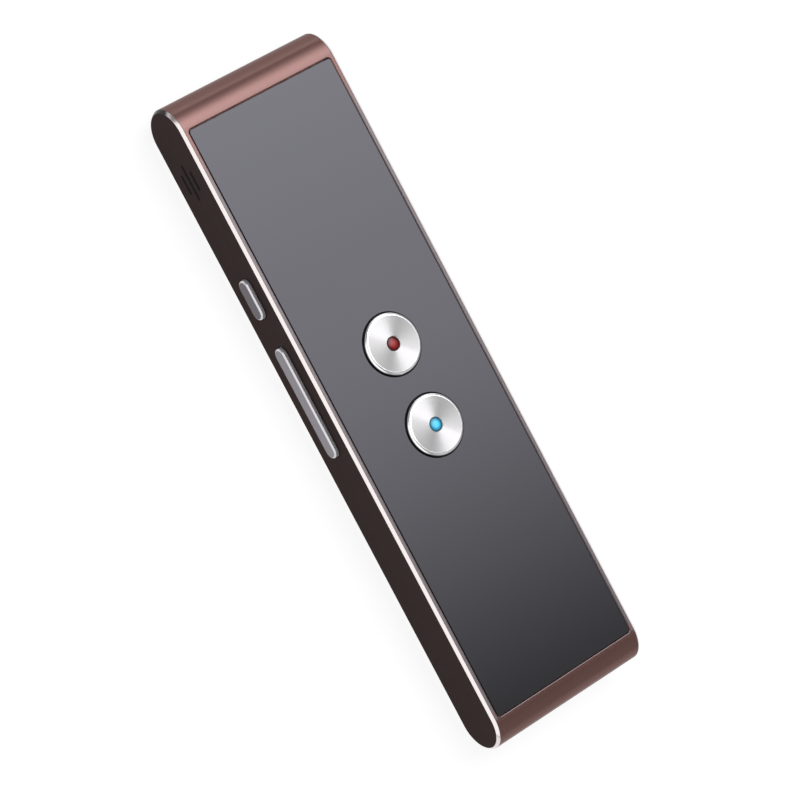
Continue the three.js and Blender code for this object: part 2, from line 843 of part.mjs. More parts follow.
// The steel bracket: a wall behind the switches, and two tabs that lie on the main board
function keyBracket() {
  const wallEnd = bracketX + bracketSheet;
  const wall = block(
    [bracketX, bracketStart, boardTop],
    [wallEnd, bracketEnd, midHeight + bracketHalfHeight],
  );
  const tabs = tabScrews.map(([, y]) =>
    block(
      [bracketX + bracketSheet / 2, y - bracketTabY / 2, boardTop],
      [wallEnd + bracketTabX, y + bracketTabY / 2, boardTop + bracketSheet],
    ),
  );
  const holes = tabScrews.map(([x, y]) =>
    upright(shankRadius + screwHoleGap, x, y, boardTop - overrun, boardTop + overrun, postSteps),
  );
  return named("key_bracket", surface(cutBy(joined([wall, ...tabs]), holes)), steel);
}

// The flexible circuit behind the side switches, with a tail over the bracket to the board
function keyFlex() {
  const low = midHeight - flexHalfHeight;
  const top = midHeight + bracketHalfHeight + flexSheet;
  const strip = block([sideSwitchX, bracketStart, low], [bracketX, bracketEnd, midHeight + flexHalfHeight]);
  const tailY = (powerKeyY + volumeKeyY + volumeKeyLength / 2 - powerKeyLength / 2) / 2;
  const inner = bracketX + bracketSheet + flexTailBend;
  const tail = new THREE.Shape();
  tail.moveTo(sideSwitchX, low);
  tail.lineTo(bracketX, low);
  tail.lineTo(bracketX, top - flexSheet + runGap);
  tail.lineTo(inner - flexSheet, top - flexSheet + runGap);
  tail.lineTo(inner - flexSheet, boardTop + runGap);
  tail.lineTo(inner + flexTailReach, boardTop + runGap);
  tail.lineTo(inner + flexTailReach, boardTop + runGap + flexSheet);
  tail.lineTo(inner, boardTop + runGap + flexSheet);
  tail.lineTo(inner, top + runGap);
  tail.lineTo(sideSwitchX, top + runGap);
  const geometry = new THREE.ExtrudeGeometry(tail, { depth: flexTailWidth, bevelEnabled: false });
  geometry.rotateX(Math.PI / 2).translate(0, tailY + flexTailWidth / 2, 0);
  return named("key_flex", surface(strip.add(solid(geometry))), flexAmber);
}

// Circuit boards

function mainBoard() {
  const plain = block([mainBoardLeft, mainBoardStart, boardBottom], [mainBoardRight, mainBoardEnd, boardTop]);
  const low = boardBottom - overrun;
  const high = boardTop + overrun;
  const notch = block(
    [mainBoardLeft - overrun, speakerStart - speakerRibWall - fitGap, low],
    [boardNotchX, mainBoardEnd + overrun, high],
  );
  const postCuts = posts.slice(-2).map(([x, y]) => {
    const reach = postRadius + fitGap;
    const edge = Math.sign(x) * bodyWidth;
    const slit = block([Math.min(x, edge), y - reach, low], [Math.max(x, edge), y + reach, high]);
    return slit.add(upright(reach, x, y, low, high, postSteps));
  });
  const holes = [...tabScrews, ...boardScrews].map(([x, y]) =>
    upright(shankRadius + screwHoleGap, x, y, low, high, postSteps),
  );
  const bare = cutBy(plain, [notch, ...postCuts, ...holes]);
  const body = joined([bare, plugHeader(), ribbonSocket(mainBoardStart, 1)]);
  return named("main_board", surface(body), boardGreen);
}

// The open-topped header that the battery's plug sits in
function plugHeader() {
  const [width, length, height] = headerSize;
  const y = mainBoardStart + length / 2 + connectorMargin;
  const root = boardTop - boardThickness / 2;
  const [left, right] = [headerX - width / 2, headerX + width / 2];
  const shell = block([left, y - length / 2, root], [right, y + length / 2, boardTop + height]);
  const well = block(
    [left + headerWall, y - length / 2 - overrun, boardTop + headerWall / 2],
    [right - headerWall, y + length / 2 - headerWall, boardTop + height + overrun],
  );
  return shell.subtract(well);
}

// A low connector for the ribbon, just inside a board's edge
function ribbonSocket(edge, side) {
  const [width, length, height] = ribbonConnector;
  const near = edge + side * connectorMargin;
  const far = near + side * length;
  return block(
    [ribbonX - width / 2, Math.min(near, far), boardTop - boardThickness / 2],
    [ribbonX + width / 2, Math.max(near, far), boardTop + height - ribbonSheet - runGap],
  );
}

function microphoneBoard() {
  const plain = block(
    [-endBoardHalfX, endBoardStart, boardBottom],
    [endBoardHalfX, endBoardEnd, boardTop],
  );
  const low = boardBottom - overrun;
  const high = boardTop + overrun;
  const micNotch = block(
    [-cradleHalfX - fitGap, endBoardStart - overrun, low],
    [cradleHalfX + fitGap, bootFaceY + bootLength + fitGap, high],
  );
  const holes = endScrews.map(([x, y]) => upright(shankRadius + screwHoleGap, x, y, low, high, postSteps));
  const bare = cutBy(plain, [micNotch, ...holes]);
  return named("microphone_board", surface(bare.add(ribbonSocket(endBoardEnd, -1))), boardGreen);
}

// The ribbon between the two boards, which runs over the battery
function boardRibbon() {
  const seat = boardTop + ribbonConnector[2] - ribbonSheet;
  const crest = batteryTop + ribbonLift;
  const startY = endBoardEnd - ribbonConnector[1];
  const endY = mainBoardStart + ribbonConnector[1];
  const path = [
    [startY, seat],
    [endBoardEnd, seat],
    [endBoardEnd + ribbonRun, crest],
    [mainBoardStart - ribbonRun, crest],
    [mainBoardStart, seat],
    [endY, seat],
  ];
  const shape = new THREE.Shape();
  path.forEach(([y, z], at) => (at === 0 ? shape.moveTo(y, z) : shape.lineTo(y, z)));
  [...path].reverse().forEach(([y, z]) => shape.lineTo(y, z + ribbonSheet));
  const halfX = ribbonWidth / 2;
  const geometry = pulledAcross(shape, ribbonX - halfX, ribbonX + halfX, 1);
  return named("microphone_ribbon", geometry, flexAmber);
}

function shieldCan() {
  const [width, length, height] = shieldSize;
  const outer = block([-width / 2, -length / 2, 0], [width / 2, length / 2, height]);
  const inner = block(
    [-width / 2 + shieldSheet, -length / 2 + shieldSheet, -overrun],
    [width / 2 - shieldSheet, length / 2 - shieldSheet, height - shieldSheet],
  );
  return placed(named("shield_can", surface(outer.subtract(inner)), steel), shieldX, shieldY, boardTop);
}

function boardChips() {
  return [
    onBoard("processor_chip", processorSize, shieldX, shieldY - crystalSize[1] / 2, chipBlack),
    onBoard("timing_crystal", crystalSize, shieldX, crystalY, foil),
    onBoard("audio_amplifier", amplifierSize, amplifierX, amplifierY, chipBlack),
    onBoard("antenna_chip", antennaSize, 0, mainBoardEnd - antennaSize[1], whitePlastic),
  ];
}

// Battery

function batteryCell() {
  const halfY = (batteryEnd - batteryStart) / 2;
  const cell = rectangle(batteryHalfX, (batteryTop - batteryBottom) / 2, batteryCorner);
  const geometry = pulledUp(cell, -halfY, halfY, cornerSteps).rotateX(Math.PI / 2);
  const mesh = named("battery_cell", geometry, foil);
  return placed(mesh, 0, (batteryStart + batteryEnd) / 2, (batteryTop + batteryBottom) / 2);
}

function batteryTape() {
  const body = block(
    [-batteryHalfX + tapeInset, batteryStart + tapeInset, floorWall],
    [batteryHalfX - tapeInset, batteryEnd - tapeInset, batteryBottom],
  );
  return named("battery_tape", surface(body), clearTape);
}

function batteryGuard() {
  const geometry = new THREE.BoxGeometry(guardWidth, guardDepth, guardHeight);
  const mesh = named("battery_protection_board", geometry, flexAmber);
  return placed(mesh, 0, batteryEnd + guardDepth / 2, guardBottom + guardHeight / 2);
}

function batteryPlug() {
  const [width, length, height] = plugSize;
  const y = mainBoardStart + headerWall + headerSize[1] - headerWall - plugGap - length / 2;
  const floor = boardTop + headerWall / 2;
  const geometry = new THREE.BoxGeometry(width, length, height);
  return placed(named("battery_plug", geometry, whitePlastic), headerX, y, floor + height / 2);
}

// A lead of round section along a smooth curve
function lead(name, points, material) {
  const path = new THREE.CatmullRomCurve3(points.map((point) => new THREE.Vector3(...point)));
  const section = new THREE.Shape();
  for (let side = 0; side < leadSides; side += 1) {
    const angle = (2 * Math.PI * side) / leadSides;
    const corner = [leadRadius * Math.cos(angle), leadRadius * Math.sin(angle)];
    if (side === 0) section.moveTo(...corner);
    else section.lineTo(...corner);
  }
  return named(name, new THREE.ExtrudeGeometry(section, { steps: leadSteps, extrudePath: path }), material);
}

// The battery's two leads run from its protection board to the plug
function batteryLeads() {
  const startY = batteryEnd + guardDepth + wireGap;
  const startZ = guardBottom + guardHeight / 2;
  const plugFace = mainBoardStart + headerSize[1] - plugGap - plugSize[1] - wireGap;
  const plugZ = boardTop + headerWall / 2 + plugSize[2] / 2;
  return [
    ["battery_lead_red", -1, redWire],
    ["battery_lead_black", 1, blackWire],
  ].map(([name, side, material]) => {
    const startX = guardWidth / 2 - leadPitch * (2 - side / 2);
    const plugX = headerX + (side * leadPitch) / 2;
    const points = [
      [startX, startY, startZ],
      [startX, startY + leadPitch / 2, startZ],
      [(startX + plugX) / 2, (startY + plugFace) / 2, (startZ + plugZ) / 2 + leadRadius],
      [plugX, plugFace - leadPitch / 2, plugZ],
      [plugX, plugFace, plugZ],
    ];
    return lead(name, points, material);
  });
}

// Speaker, its gasket and its dust mesh

function speakerBasket() {
  const outline = rectangle(speakerLength / 2, speakerHeight / 2, speakerRim);
  const tray = solid(pulledAcross(outline, 0, speakerThickness, cornerSteps));
  const inside = rectangle(speakerLength / 2 - speakerRim, speakerHeight / 2 - speakerRim, speakerRim);
  const bowl = solid(pulledAcross(inside, -overrun, coneDepth + coneSheet, cornerSteps));
  const seat = block(
    [speakerThickness - magnetSunk, -magnetLength / 2 - wireGap, -magnetHeight / 2 - wireGap],
    [speakerThickness + overrun, magnetLength / 2 + wireGap, magnetHeight / 2 + wireGap],
  );
  const mesh = named("speaker_basket", surface(cutBy(tray, [bowl, seat])), blackPlastic);
  return placed(mesh, speakerX, slotsY, speakerMid);
}

// The cone: a thin dished sheet with a raised middle
function speakerCone() {
  const halfY = speakerLength / 2 - speakerRim - wireGap;
  const halfZ = speakerHeight / 2 - speakerRim - wireGap;
  const outline = rectangle(halfY, halfZ, speakerRim);
  const sheet = solid(pulledAcross(outline, coneDepth, coneDepth + coneSheet, cornerSteps));
  const dome = rectangle(halfY / 2, halfZ / 2, halfZ / 3);
  const raised = solid(pulledAcross(dome, coneDepth - coneSheet, coneDepth + coneSheet / 2, cornerSteps));
  return placed(named("speaker_cone", surface(sheet.add(raised)), chipBlack), speakerX, slotsY, speakerMid);
}

function speakerMagnet() {
  const thickness = magnetThickness;
  const geometry = new THREE.BoxGeometry(thickness, magnetLength, magnetHeight);
  const x = speakerBackX - magnetSunk + thickness / 2;
  return placed(named("speaker_magnet", geometry, steel), x, slotsY, speakerMid);
}

// The gasket and the mesh share one outline
function gasketOutline() {
  return rectangle((speakerLength - speakerRim) / 2, (speakerHeight - speakerRim) / 2, gasketWall);
}

function speakerGasket() {
  const ring = gasketOutline();
  const halfY = (speakerLength - speakerRim) / 2 - gasketWall;
  const halfZ = (speakerHeight - speakerRim) / 2 - gasketWall;
  ring.holes.push(rectangle(halfY, halfZ, gasketWall / 2));
  const geometry = pulledAcross(ring, 0, gasketThickness, cornerSteps);
  return placed(named("speaker_gasket", geometry, foam), gasketX, slotsY, speakerMid);
}

function speakerMesh() {
  const geometry = pulledAcross(gasketOutline(), 0, meshThickness, cornerSteps);
  return placed(named("speaker_mesh", geometry, steel), meshX, slotsY, speakerMid);
}

// The speaker's two leads drop from its back and turn in to the board
function speakerLeads() {
  return [
    ["speaker_lead_red", -1, redWire],
    ["speaker_lead_black", 1, blackWire],
  ].map(([name, side, material]) => {
    const y = speakerStart + speakerRim + (leadPitch * (side + 1)) / 2;
    const startX = speakerBackX + leadRadius + wireGap;
    const startZ = boardTop - boardThickness;
    const padX = boardNotchX + leadPitch;
    const points = [
      [startX - leadRadius, y, startZ],
      [startX, y, startZ],
      [(startX + padX) / 2, y, boardTop + leadPitch],
      [padX, y, boardTop + leadPitch / 2],
      [padX + leadRadius / 2, y, boardTop + wireGap],
    ];
    return lead(name, points, material);
  });
}

// Charging socket

function socketShell() {
  const outer = socketBar(0, socketBack, socketMouth);
  const inner = socketBar(-socketSheet, socketBack - overrun, socketMouth + overrun);
  return named("socket_shell", surface(outer.subtract(inner)), steel);
}

// The plastic core: a plug at the back of the shell that carries the contact tongue
function socketCore() {
  const plug = socketBar(-socketSheet - wireGap, socketBack, socketBack + tongueBack);
  const half = socketWidth / 2 - socketSheet - tongueSideGap;
  const top = midHeight + socketHeight / 2 - socketSheet - tongueThickness / 2;
  const tongue = block(
    [socketBack + tongueBack / 2, socketY - half, top - tongueThickness],
    [socketMouth - socketRecess, socketY + half, top],
  );
  return named("socket_core", surface(plug.add(tongue)), blackPlastic);
}

// Microphone and its rubber boot, whose profile is turned about a middle line along Y

function microphoneBoot() {
  const pocket = bootWall + fitGap;
  const profile = [
    [soundHole, snoutEndY - bootFaceY],
    [snoutRadius, snoutEndY - bootFaceY],
    [snoutRadius, 0],
    [bootRadius, 0],
    [bootRadius, bootLength],
    [micRadius + bootGap, bootLength],
    [micRadius + bootGap, pocket],
    [soundHole, pocket],
    [soundHole, snoutEndY - bootFaceY],
  ];
  const points = profile.map(([radius, along]) => new THREE.Vector2(radius, along));
  const geometry = new THREE.LatheGeometry(points, roundSteps);
  return placed(named("microphone_boot", geometry, blackRubber), 0, bootFaceY, cavityMid);
}

// The capsule has two pins that bend down to the charging board
function microphone() {
  const front = bootFaceY + bootWall + fitGap;
  const back = front + micThickness;
  const capsule = barAlong(micRadius, 0, cavityMid, front, back, roundSteps);
  const bendY = bootFaceY + bootLength + 2 * fitGap;
  const pins = [-1, 1].flatMap((side) => {
    const left = (side * pinPitch) / 2 - pinWidth / 2;
    const right = left + pinWidth;
    return [
      block([left, back - pinWidth, cavityMid], [right, bendY + pinWidth, cavityMid + pinWidth]),
      block([left, bendY, boardTop], [right, bendY + pinWidth, cavityMid + pinWidth]),
    ];
  });
  return named("microphone_capsule", surface(joined([capsule, ...pins])), foil);
}

// Screws, built about their own middle line with the head's seat at height 0

function screw(name, length, [x, y], seat) {
  const profile = [
    [0, -length],
    [shankRadius, -length],
    [shankRadius, 0],
    [headRadius, 0],
    [headRadius, headHeight],
    [0, headHeight],
  ];
  return placed(named(name, turned(profile, postSteps), steel), x, y, seat);
}

function screws() {
  const frameSeat = plateTop - headHeight - screwHoleGap;
  const tabSeat = boardTop + bracketSheet;
  return [
    ...posts.map((place, at) => screw("frame_screw_" + (at + 1), frameScrewLength, place, frameSeat)),
    ...tabScrews.map((place, at) => screw("bracket_screw_" + (at + 1), boardScrewLength, place, tabSeat)),
    ...boardScrews.map((place, at) => screw("board_screw_" + (at + 1), boardScrewLength, place, boardTop)),
    ...endScrews.map((place, at) => screw("end_screw_" + (at + 1), boardScrewLength, place, boardTop)),
  ];
}

// Assembly

function assembled(parts) {
  const group = new THREE.Group();
  parts.flat().forEach((part) => group.add(part));
  return group;
}

const lensFinishes = { red: redLens, blue: blueLens };
const shellParts = assembled([housing(), frontGlass(), glassAdhesive(), middleFrame(), screws()]);
const buttonParts = assembled(
  buttonRows.map(([colour, y]) => [
    frontButton(colour, y, lensFinishes[colour]),
    frontSwitch(colour, y),
    buttonLed(colour, y, lensFinishes[colour]),
  ]).flat(),
);
const keyParts = assembled([
  powerKey(),
  volumeKey(),
  sidePlunger("power_switch_plunger", powerKeyY),
  sideSwitch("power_switch_body", powerKeyY),
  plungerRows.map(([name, y]) => sidePlunger(name + "_switch_plunger", y)),
  plungerRows.map(([name, y]) => sideSwitch(name + "_switch_body", y)),
  keyBracket(),
  keyFlex(),
]);
const boardParts = assembled([mainBoard(), microphoneBoard(), boardRibbon(), shieldCan(), boardChips()]);
const batteryParts = assembled([batteryCell(), batteryTape(), batteryGuard(), batteryPlug(), batteryLeads()]);
const soundParts = assembled([
  speakerBasket(),
  speakerCone(),
  speakerMagnet(),
  speakerGasket(),
  speakerMesh(),
  speakerLeads(),
  microphoneBoot(),
  microphone(),
]);
const socketParts = assembled([socketShell(), socketCore()]);

const electricParts = assembled([boardParts, batteryParts, soundParts, socketParts]);

export default assembled([shellParts, buttonParts, keyParts, electricParts]);
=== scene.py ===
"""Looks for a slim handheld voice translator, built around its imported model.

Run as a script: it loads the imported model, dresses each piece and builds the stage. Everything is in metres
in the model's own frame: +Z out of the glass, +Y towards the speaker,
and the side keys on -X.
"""

import math

import bmesh
import bpy
from bpy.props import FloatProperty, FloatVectorProperty, IntProperty, PointerProperty
from bpy.types import Operator, Panel, PropertyGroup
from mathutils import Matrix, Vector


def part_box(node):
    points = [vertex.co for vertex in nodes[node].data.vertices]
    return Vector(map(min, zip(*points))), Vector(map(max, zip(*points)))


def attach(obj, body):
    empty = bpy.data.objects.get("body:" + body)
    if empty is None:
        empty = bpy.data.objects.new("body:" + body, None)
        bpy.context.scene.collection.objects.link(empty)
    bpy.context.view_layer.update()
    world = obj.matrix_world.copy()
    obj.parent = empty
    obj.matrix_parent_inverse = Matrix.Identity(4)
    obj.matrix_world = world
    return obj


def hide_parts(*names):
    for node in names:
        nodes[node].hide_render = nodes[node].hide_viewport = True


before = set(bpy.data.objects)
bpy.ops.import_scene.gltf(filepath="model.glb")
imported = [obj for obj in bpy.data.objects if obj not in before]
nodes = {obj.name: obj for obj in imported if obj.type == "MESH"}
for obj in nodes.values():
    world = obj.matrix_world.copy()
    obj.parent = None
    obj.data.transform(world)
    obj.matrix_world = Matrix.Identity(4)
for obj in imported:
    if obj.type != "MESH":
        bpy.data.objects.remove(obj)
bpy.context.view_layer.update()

bl_info = {
    "name": "Handheld voice translator",
    "version": (1, 0, 0),
    "blender": (4, 5, 0),
    "location": "3D View > Sidebar > Translator",
    "description": "Dresses the packed translator: shell, glass, buttons, keys, speaker, socket and insides",
    "category": "Object",
}

MM = 0.001


def srgb(hex_code):
    """Linear colour of an sRGB hex value."""
    parts = [int(hex_code[at : at + 2], 16) / 255 for at in (0, 2, 4)]
    linear = [part / 12.92 if part <= 0.04045 else ((part + 0.055) / 1.055) ** 2.4 for part in parts]
    return (*linear, 1.0)


# Sizes and colours that a user would change


def length(name, description, default_mm, low=0.0, high=20.0):
    return FloatProperty(
        name=name,
        description=description,
        default=default_mm * MM,
        min=low * MM,
        max=high * MM,
        precision=5,
        subtype="DISTANCE",
        unit="LENGTH",
    )


def colour(name, description, hex_code):
    return FloatVectorProperty(
        name=name,
        description=description,
        default=srgb(hex_code),
        size=4,
        min=0,
        max=1,
        subtype="COLOR",
    )


def amount(name, description, default, low, high):
    return FloatProperty(name=name, description=description, default=default, min=low, max=high)


def factor(name, description, default):
    return FloatProperty(name=name, description=description, default=default, min=0, max=1, subtype="FACTOR")


class TranslatorShell(PropertyGroup):
    rim_bevel: length("Pocket rim", "Width of the fine break round the glass pocket", 0.03, 0, 0.3)
    edge_bevel: length("Side edges", "Width of the break on the chamfers and the side openings", 0.1, 0, 0.2)
    wrap: colour("Wrap", "Satin anodised metal of the back, the ends and the front rim", "6f4f49")
    # the sides' darker shade is a painted dark reflection, standing in for the dark surroundings they mirror
    side: colour("Sides", "Darker anodised metal of the two flat sides", "373130")
    chamfer: colour("Chamfer", "Polished band between the sides and the wrap", "e2dbda")
    # the rim's paler shade is a painted highlight: the polished band's light carried onto the strip beside
    # the glass
    rim: colour("Rim", "Paler metal of the narrow rim beside the glass", "625a5a")
    band_side: length("Band on the side", "How far the polished band runs down the side", 0.53, 0.2, 0.75)
    band_front: length("Band on the front", "How far the polished band runs over the front", 0.62, 0.2, 0.75)
    band_round: length("Band rounding", "Width over which each polished band runs into the wrap", 0.5, 0, 0.5)
    wrap_roughness: factor("Wrap roughness", "How satin the wrap is", 0.395)


class TranslatorGlass(PropertyGroup):
    edge_bevel: length("Edge", "Ground edge of the pane and of its two holes", 0.04, 0, 0.3)
    reach: length("Reach", "How much closer than its solid the pane comes to the long sides", 0.13, 0, 0.2)
    tint: colour("Glass", "Black print seen through the clear pane", "0b0b0d")
    roughness: factor("Roughness", "Roughness of the polished front", 0.03)


class TranslatorButtons(PropertyGroup):
    rings: IntProperty(name="Rings", description="Turned rings on each cap", default=9, min=1, max=30)
    ring_height: length("Ring height", "Height of the turned rings", 0.006, 0, 0.05)
    dome: length("Lens dome", "Height of the dome on each lens", 0.25, 0, 0.6)
    metal: colour("Caps", "Spun aluminium of the two caps", "e2e1df")
    red: colour("Red lens", "Moulded lens of the upper button", "97201c")
    blue: colour("Blue lens", "Moulded lens of the lower button", "46b6dd")
    glow: amount("Glow", "Strength of the blue lamp's glow", 0.55, 0, 2)


class TranslatorKeys(PropertyGroup):
    power: colour("Power key", "Bead-blasted aluminium of the small key, dyed darker", "68656a")
    volume: colour("Volume key", "Bead-blasted aluminium of the long key", "8c898e")
    wall: colour("Key walls", "Matt metal round the sides of both keys", "a8a5aa")
    edge: colour("Key edges", "Polished bevel of the side keys", "d2cfd3")
    round_over: length("Key edges' rounding", "Width of the rounding on each side of the bevel", 0.2, 0, 0.24)


class TranslatorSpeaker(PropertyGroup):
    pitch: length("Mesh pitch", "Distance between the wires of the dust mesh", 0.3, 0.1, 1)
    wire: length("Mesh wire", "Thickness of the dust mesh's wire", 0.12, 0.02, 0.4)


class TranslatorScrews(PropertyGroup):
    shank: length("Shank", "Radius of the screw's shank", 0.65, 0.2, 1)
    head: length("Head", "Radius of the screw's head", 1.4, 0.5, 3)
    head_height: length("Head height", "Height of the screw's head", 0.6, 0.2, 1)
    thread: length("Thread pitch", "Distance between the thread's turns", 0.45, 0.2, 1)


class TranslatorStage(PropertyGroup):
    floor: colour("Floor", "Pale floor", "f6f6f6")
    fill: amount("Fill", "Level of the studio's soft light", 1.0, 0.1, 3)
    softbox: amount("Softbox", "Level of the large softbox", 5.0, 0, 10)


# Mesh helpers


def remade(name, mesh):
    """A new object of the mesh, in the place of any older one of that name."""
    old = bpy.data.objects.get(name)
    if old is not None:
        bpy.data.objects.remove(old)
    piece = bpy.data.objects.new(name, mesh)
    bpy.context.scene.collection.objects.link(piece)
    return piece


def from_bmesh(name, shape, materials):
    mesh = bpy.data.meshes.new(name)
    shape.to_mesh(mesh)
    shape.free()
    for material in materials:
        mesh.materials.append(material)
    return remade(name, mesh)


def merged_copy(node):
    """The node's shape with its doubles merged and its flat faces whole."""
    shape = bmesh.new()
    shape.from_mesh(nodes[node].data)
    least_gap = 0.002 * MM
    bmesh.ops.remove_doubles(shape, verts=shape.verts, dist=least_gap)
    bmesh.ops.dissolve_degenerate(shape, dist=least_gap, edges=shape.edges)
    for edge in shape.edges:
        edge.smooth = True
    bmesh.ops.dissolve_limit(
        shape,
        angle_limit=math.radians(0.6),
        verts=shape.verts,
        edges=shape.edges,
        use_dissolve_boundaries=False,
    )
    shape.normal_update()
    return shape


def bevel_layer(shape):
    layers = shape.edges.layers.float
    return layers.get("bevel_weight_edge") or layers.new("bevel_weight_edge")


def sharp_at(edge):
    return edge.calc_face_angle(0.0)


def weigh_sharp(shape, degrees, chosen):
    """Marks, for a bevel to round, the edges sharper than the given angle with both ends in chosen places."""
    weights = bevel_layer(shape)
    for edge in shape.edges:
        if all(chosen(vert.co) for vert in edge.verts) and sharp_at(edge) > math.radians(degrees):
            edge[weights] = 1.0


def smooth_shaded(shape, sharp_degrees):
    """Smooth faces with sharp edges between them, but for those that a bevel rounds."""
    weights = bevel_layer(shape)
    for face in shape.faces:
        face.smooth = True
    for edge in shape.edges:
        edge.smooth = sharp_at(edge) < math.radians(sharp_degrees) or edge[weights] > 0


def rounded(piece, width, segments=2):
    """Rounds a piece's marked edges and evens its shading over them."""
    bevel = piece.modifiers.new("edge_break", "BEVEL")
    bevel.width = width
    bevel.segments = segments
    bevel.limit_method = "WEIGHT"
    bevel.use_clamp_overlap = True
    bevel.miter_outer = "MITER_SHARP"
    bevel.harden_normals = False
    even = piece.modifiers.new("even_shading", "WEIGHTED_NORMAL")
    even.keep_sharp = True
    even.weight = 60


def lathe(profile, centre, steps):
    """A closed round body about an upright axis: the profile is radius and height pairs from the axis out."""
    shape = bmesh.new()
    rings = []
    for radius, height in profile:
        ring = []
        for step in range(steps if radius > 0 else 1):
            turn = 2 * math.pi * step / steps
            place = (centre.x + radius * math.cos(turn), centre.y + radius * math.sin(turn), height)
            ring.append(shape.verts.new(place))
        rings.append(ring)
    for low, high in zip(rings, rings[1:]):
        for at in range(steps):
            after = (at + 1) % steps
            if len(low) == 1:
                corners = [low[0], high[after], high[at]]
            elif len(high) == 1:
                corners = [low[at], low[after], high[0]]
            else:
                corners = [low[at], low[after], high[after], high[at]]
            shape.faces.new(corners)
    bmesh.ops.recalc_face_normals(shape, faces=shape.faces)
    return shape


def finish_piece(piece, body, slot, *stands_for):
    """Hides the nodes that a piece stands for and hangs the piece on its body's empty. Its slot is not used.
    """
    if stands_for:
        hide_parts(*stands_for)
    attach(piece, body)


# Node trees


def add(tree, kind, inputs=(), output=0, **settings):
    """Adds a node with its settings, fills its inputs and gives one of its outputs.

    The inputs are given in order or by name. An input takes a value, a socket to link, or a list of sockets
    where it joins several.
    """
    node = tree.nodes.new(kind)
    for key, value in settings.items():
        setattr(node, key, value)
    given = inputs.items() if isinstance(inputs, dict) else enumerate(inputs)
    for key, value in given:
        for source in value if isinstance(value, list) else [value]:
            if isinstance(source, bpy.types.NodeSocket):
                tree.links.new(source, node.inputs[key])
            else:
                node.inputs[key].default_value = source
    return node.outputs[output] if node.outputs else None


def fresh_material(name):
    """The material of that name, with an empty tree."""
    material = bpy.data.materials.get(name) or bpy.data.materials.new(name)
    material.use_nodes = True
    material.node_tree.nodes.clear()
    return material, material.node_tree


def object_place(tree, stretch=(1, 1, 1)):
    """Object coordinates in millimetres, stretched."""
    place = add(tree, "ShaderNodeTexCoord", output="Object")
    return add(tree, "ShaderNodeMapping", {"Vector": place, "Scale": tuple(share / MM for share in stretch)})


def about_axis(tree, centre):
    """The flat vector from an upright axis to each point, and its length, in metres."""
    place = add(tree, "ShaderNodeTexCoord", output="Object")
    local = add(tree, "ShaderNodeMapping", {"Vector": place, "Location": (-centre.x, -centre.y, 0)})
    flat = add(tree, "ShaderNodeVectorMath", (local, (1, 1, 0)), operation="MULTIPLY")
    return flat, add(tree, "ShaderNodeVectorMath", (flat,), "Value", operation="LENGTH")


def dimmed(shade, share):
    return tuple(part * share for part in shade[:3]) + (1.0,)


def mottled(tree, pattern, low, high, start=0.0, end=1.0):
    """The colour that runs from low to high as a pattern rises from start to end."""
    share = add(tree, "ShaderNodeMapRange", (pattern, start, end, 0, 1))
    # a Mix node of colours takes them at its inputs 6 and 7, and gives the mix at its output 2
    return add(tree, "ShaderNodeMix", {0: share, 6: low, 7: high}, 2, data_type="RGBA")


def faded(tree, *fades):
    """The product of smooth fades.

    Each fade is a socket, where along it the fade is out, where it is full and its full level, which is 1 if
    it is left out.
    """
    product = 1.0
    for value, out, full, *level in fades:
        inputs = (value, out, full, 0, *(level or (1,)))
        fade = add(tree, "ShaderNodeMapRange", inputs, interpolation_type="SMOOTHSTEP")
        product = add(tree, "ShaderNodeMath", (product, fade), operation="MULTIPLY")
    return product


def shaded(tree, inputs):
    """Ends a material's tree in its shader."""
    shader = add(tree, "ShaderNodeBsdfPrincipled", inputs)
    add(tree, "ShaderNodeOutputMaterial", {"Surface": shader})


def grained(name, shades, grain, inputs, stretch=(1, 1, 1), span=(0, 1), bump=None, rough=None):
    """A finish whose colour runs between two shades with its grain.

    The grain is a noise's scale per millimetre, its detail and its roughness, and span is the part of it that
    the colour follows. The bump is the grain's height in millimetres and its strength. Where rough gives two
    values, the surface's roughness runs between them.
    """
    material, tree = fresh_material(name)
    scale, detail, broken = grain
    noise = {"Vector": object_place(tree, stretch), "Scale": scale, "Detail": detail, "Roughness": broken}
    pattern = add(tree, "ShaderNodeTexNoise", noise)
    inputs = {**inputs, "Base Color": mottled(tree, pattern, *shades, *span)}
    if rough is not None:
        inputs["Roughness"] = add(tree, "ShaderNodeMapRange", (pattern, 0.3, 0.7, *rough))
    if bump is not None:
        height, strength = bump
        relief = {"Strength": strength, "Distance": height * MM, "Height": pattern}
        inputs["Normal"] = add(tree, "ShaderNodeBump", relief)
    shaded(tree, inputs)
    return material
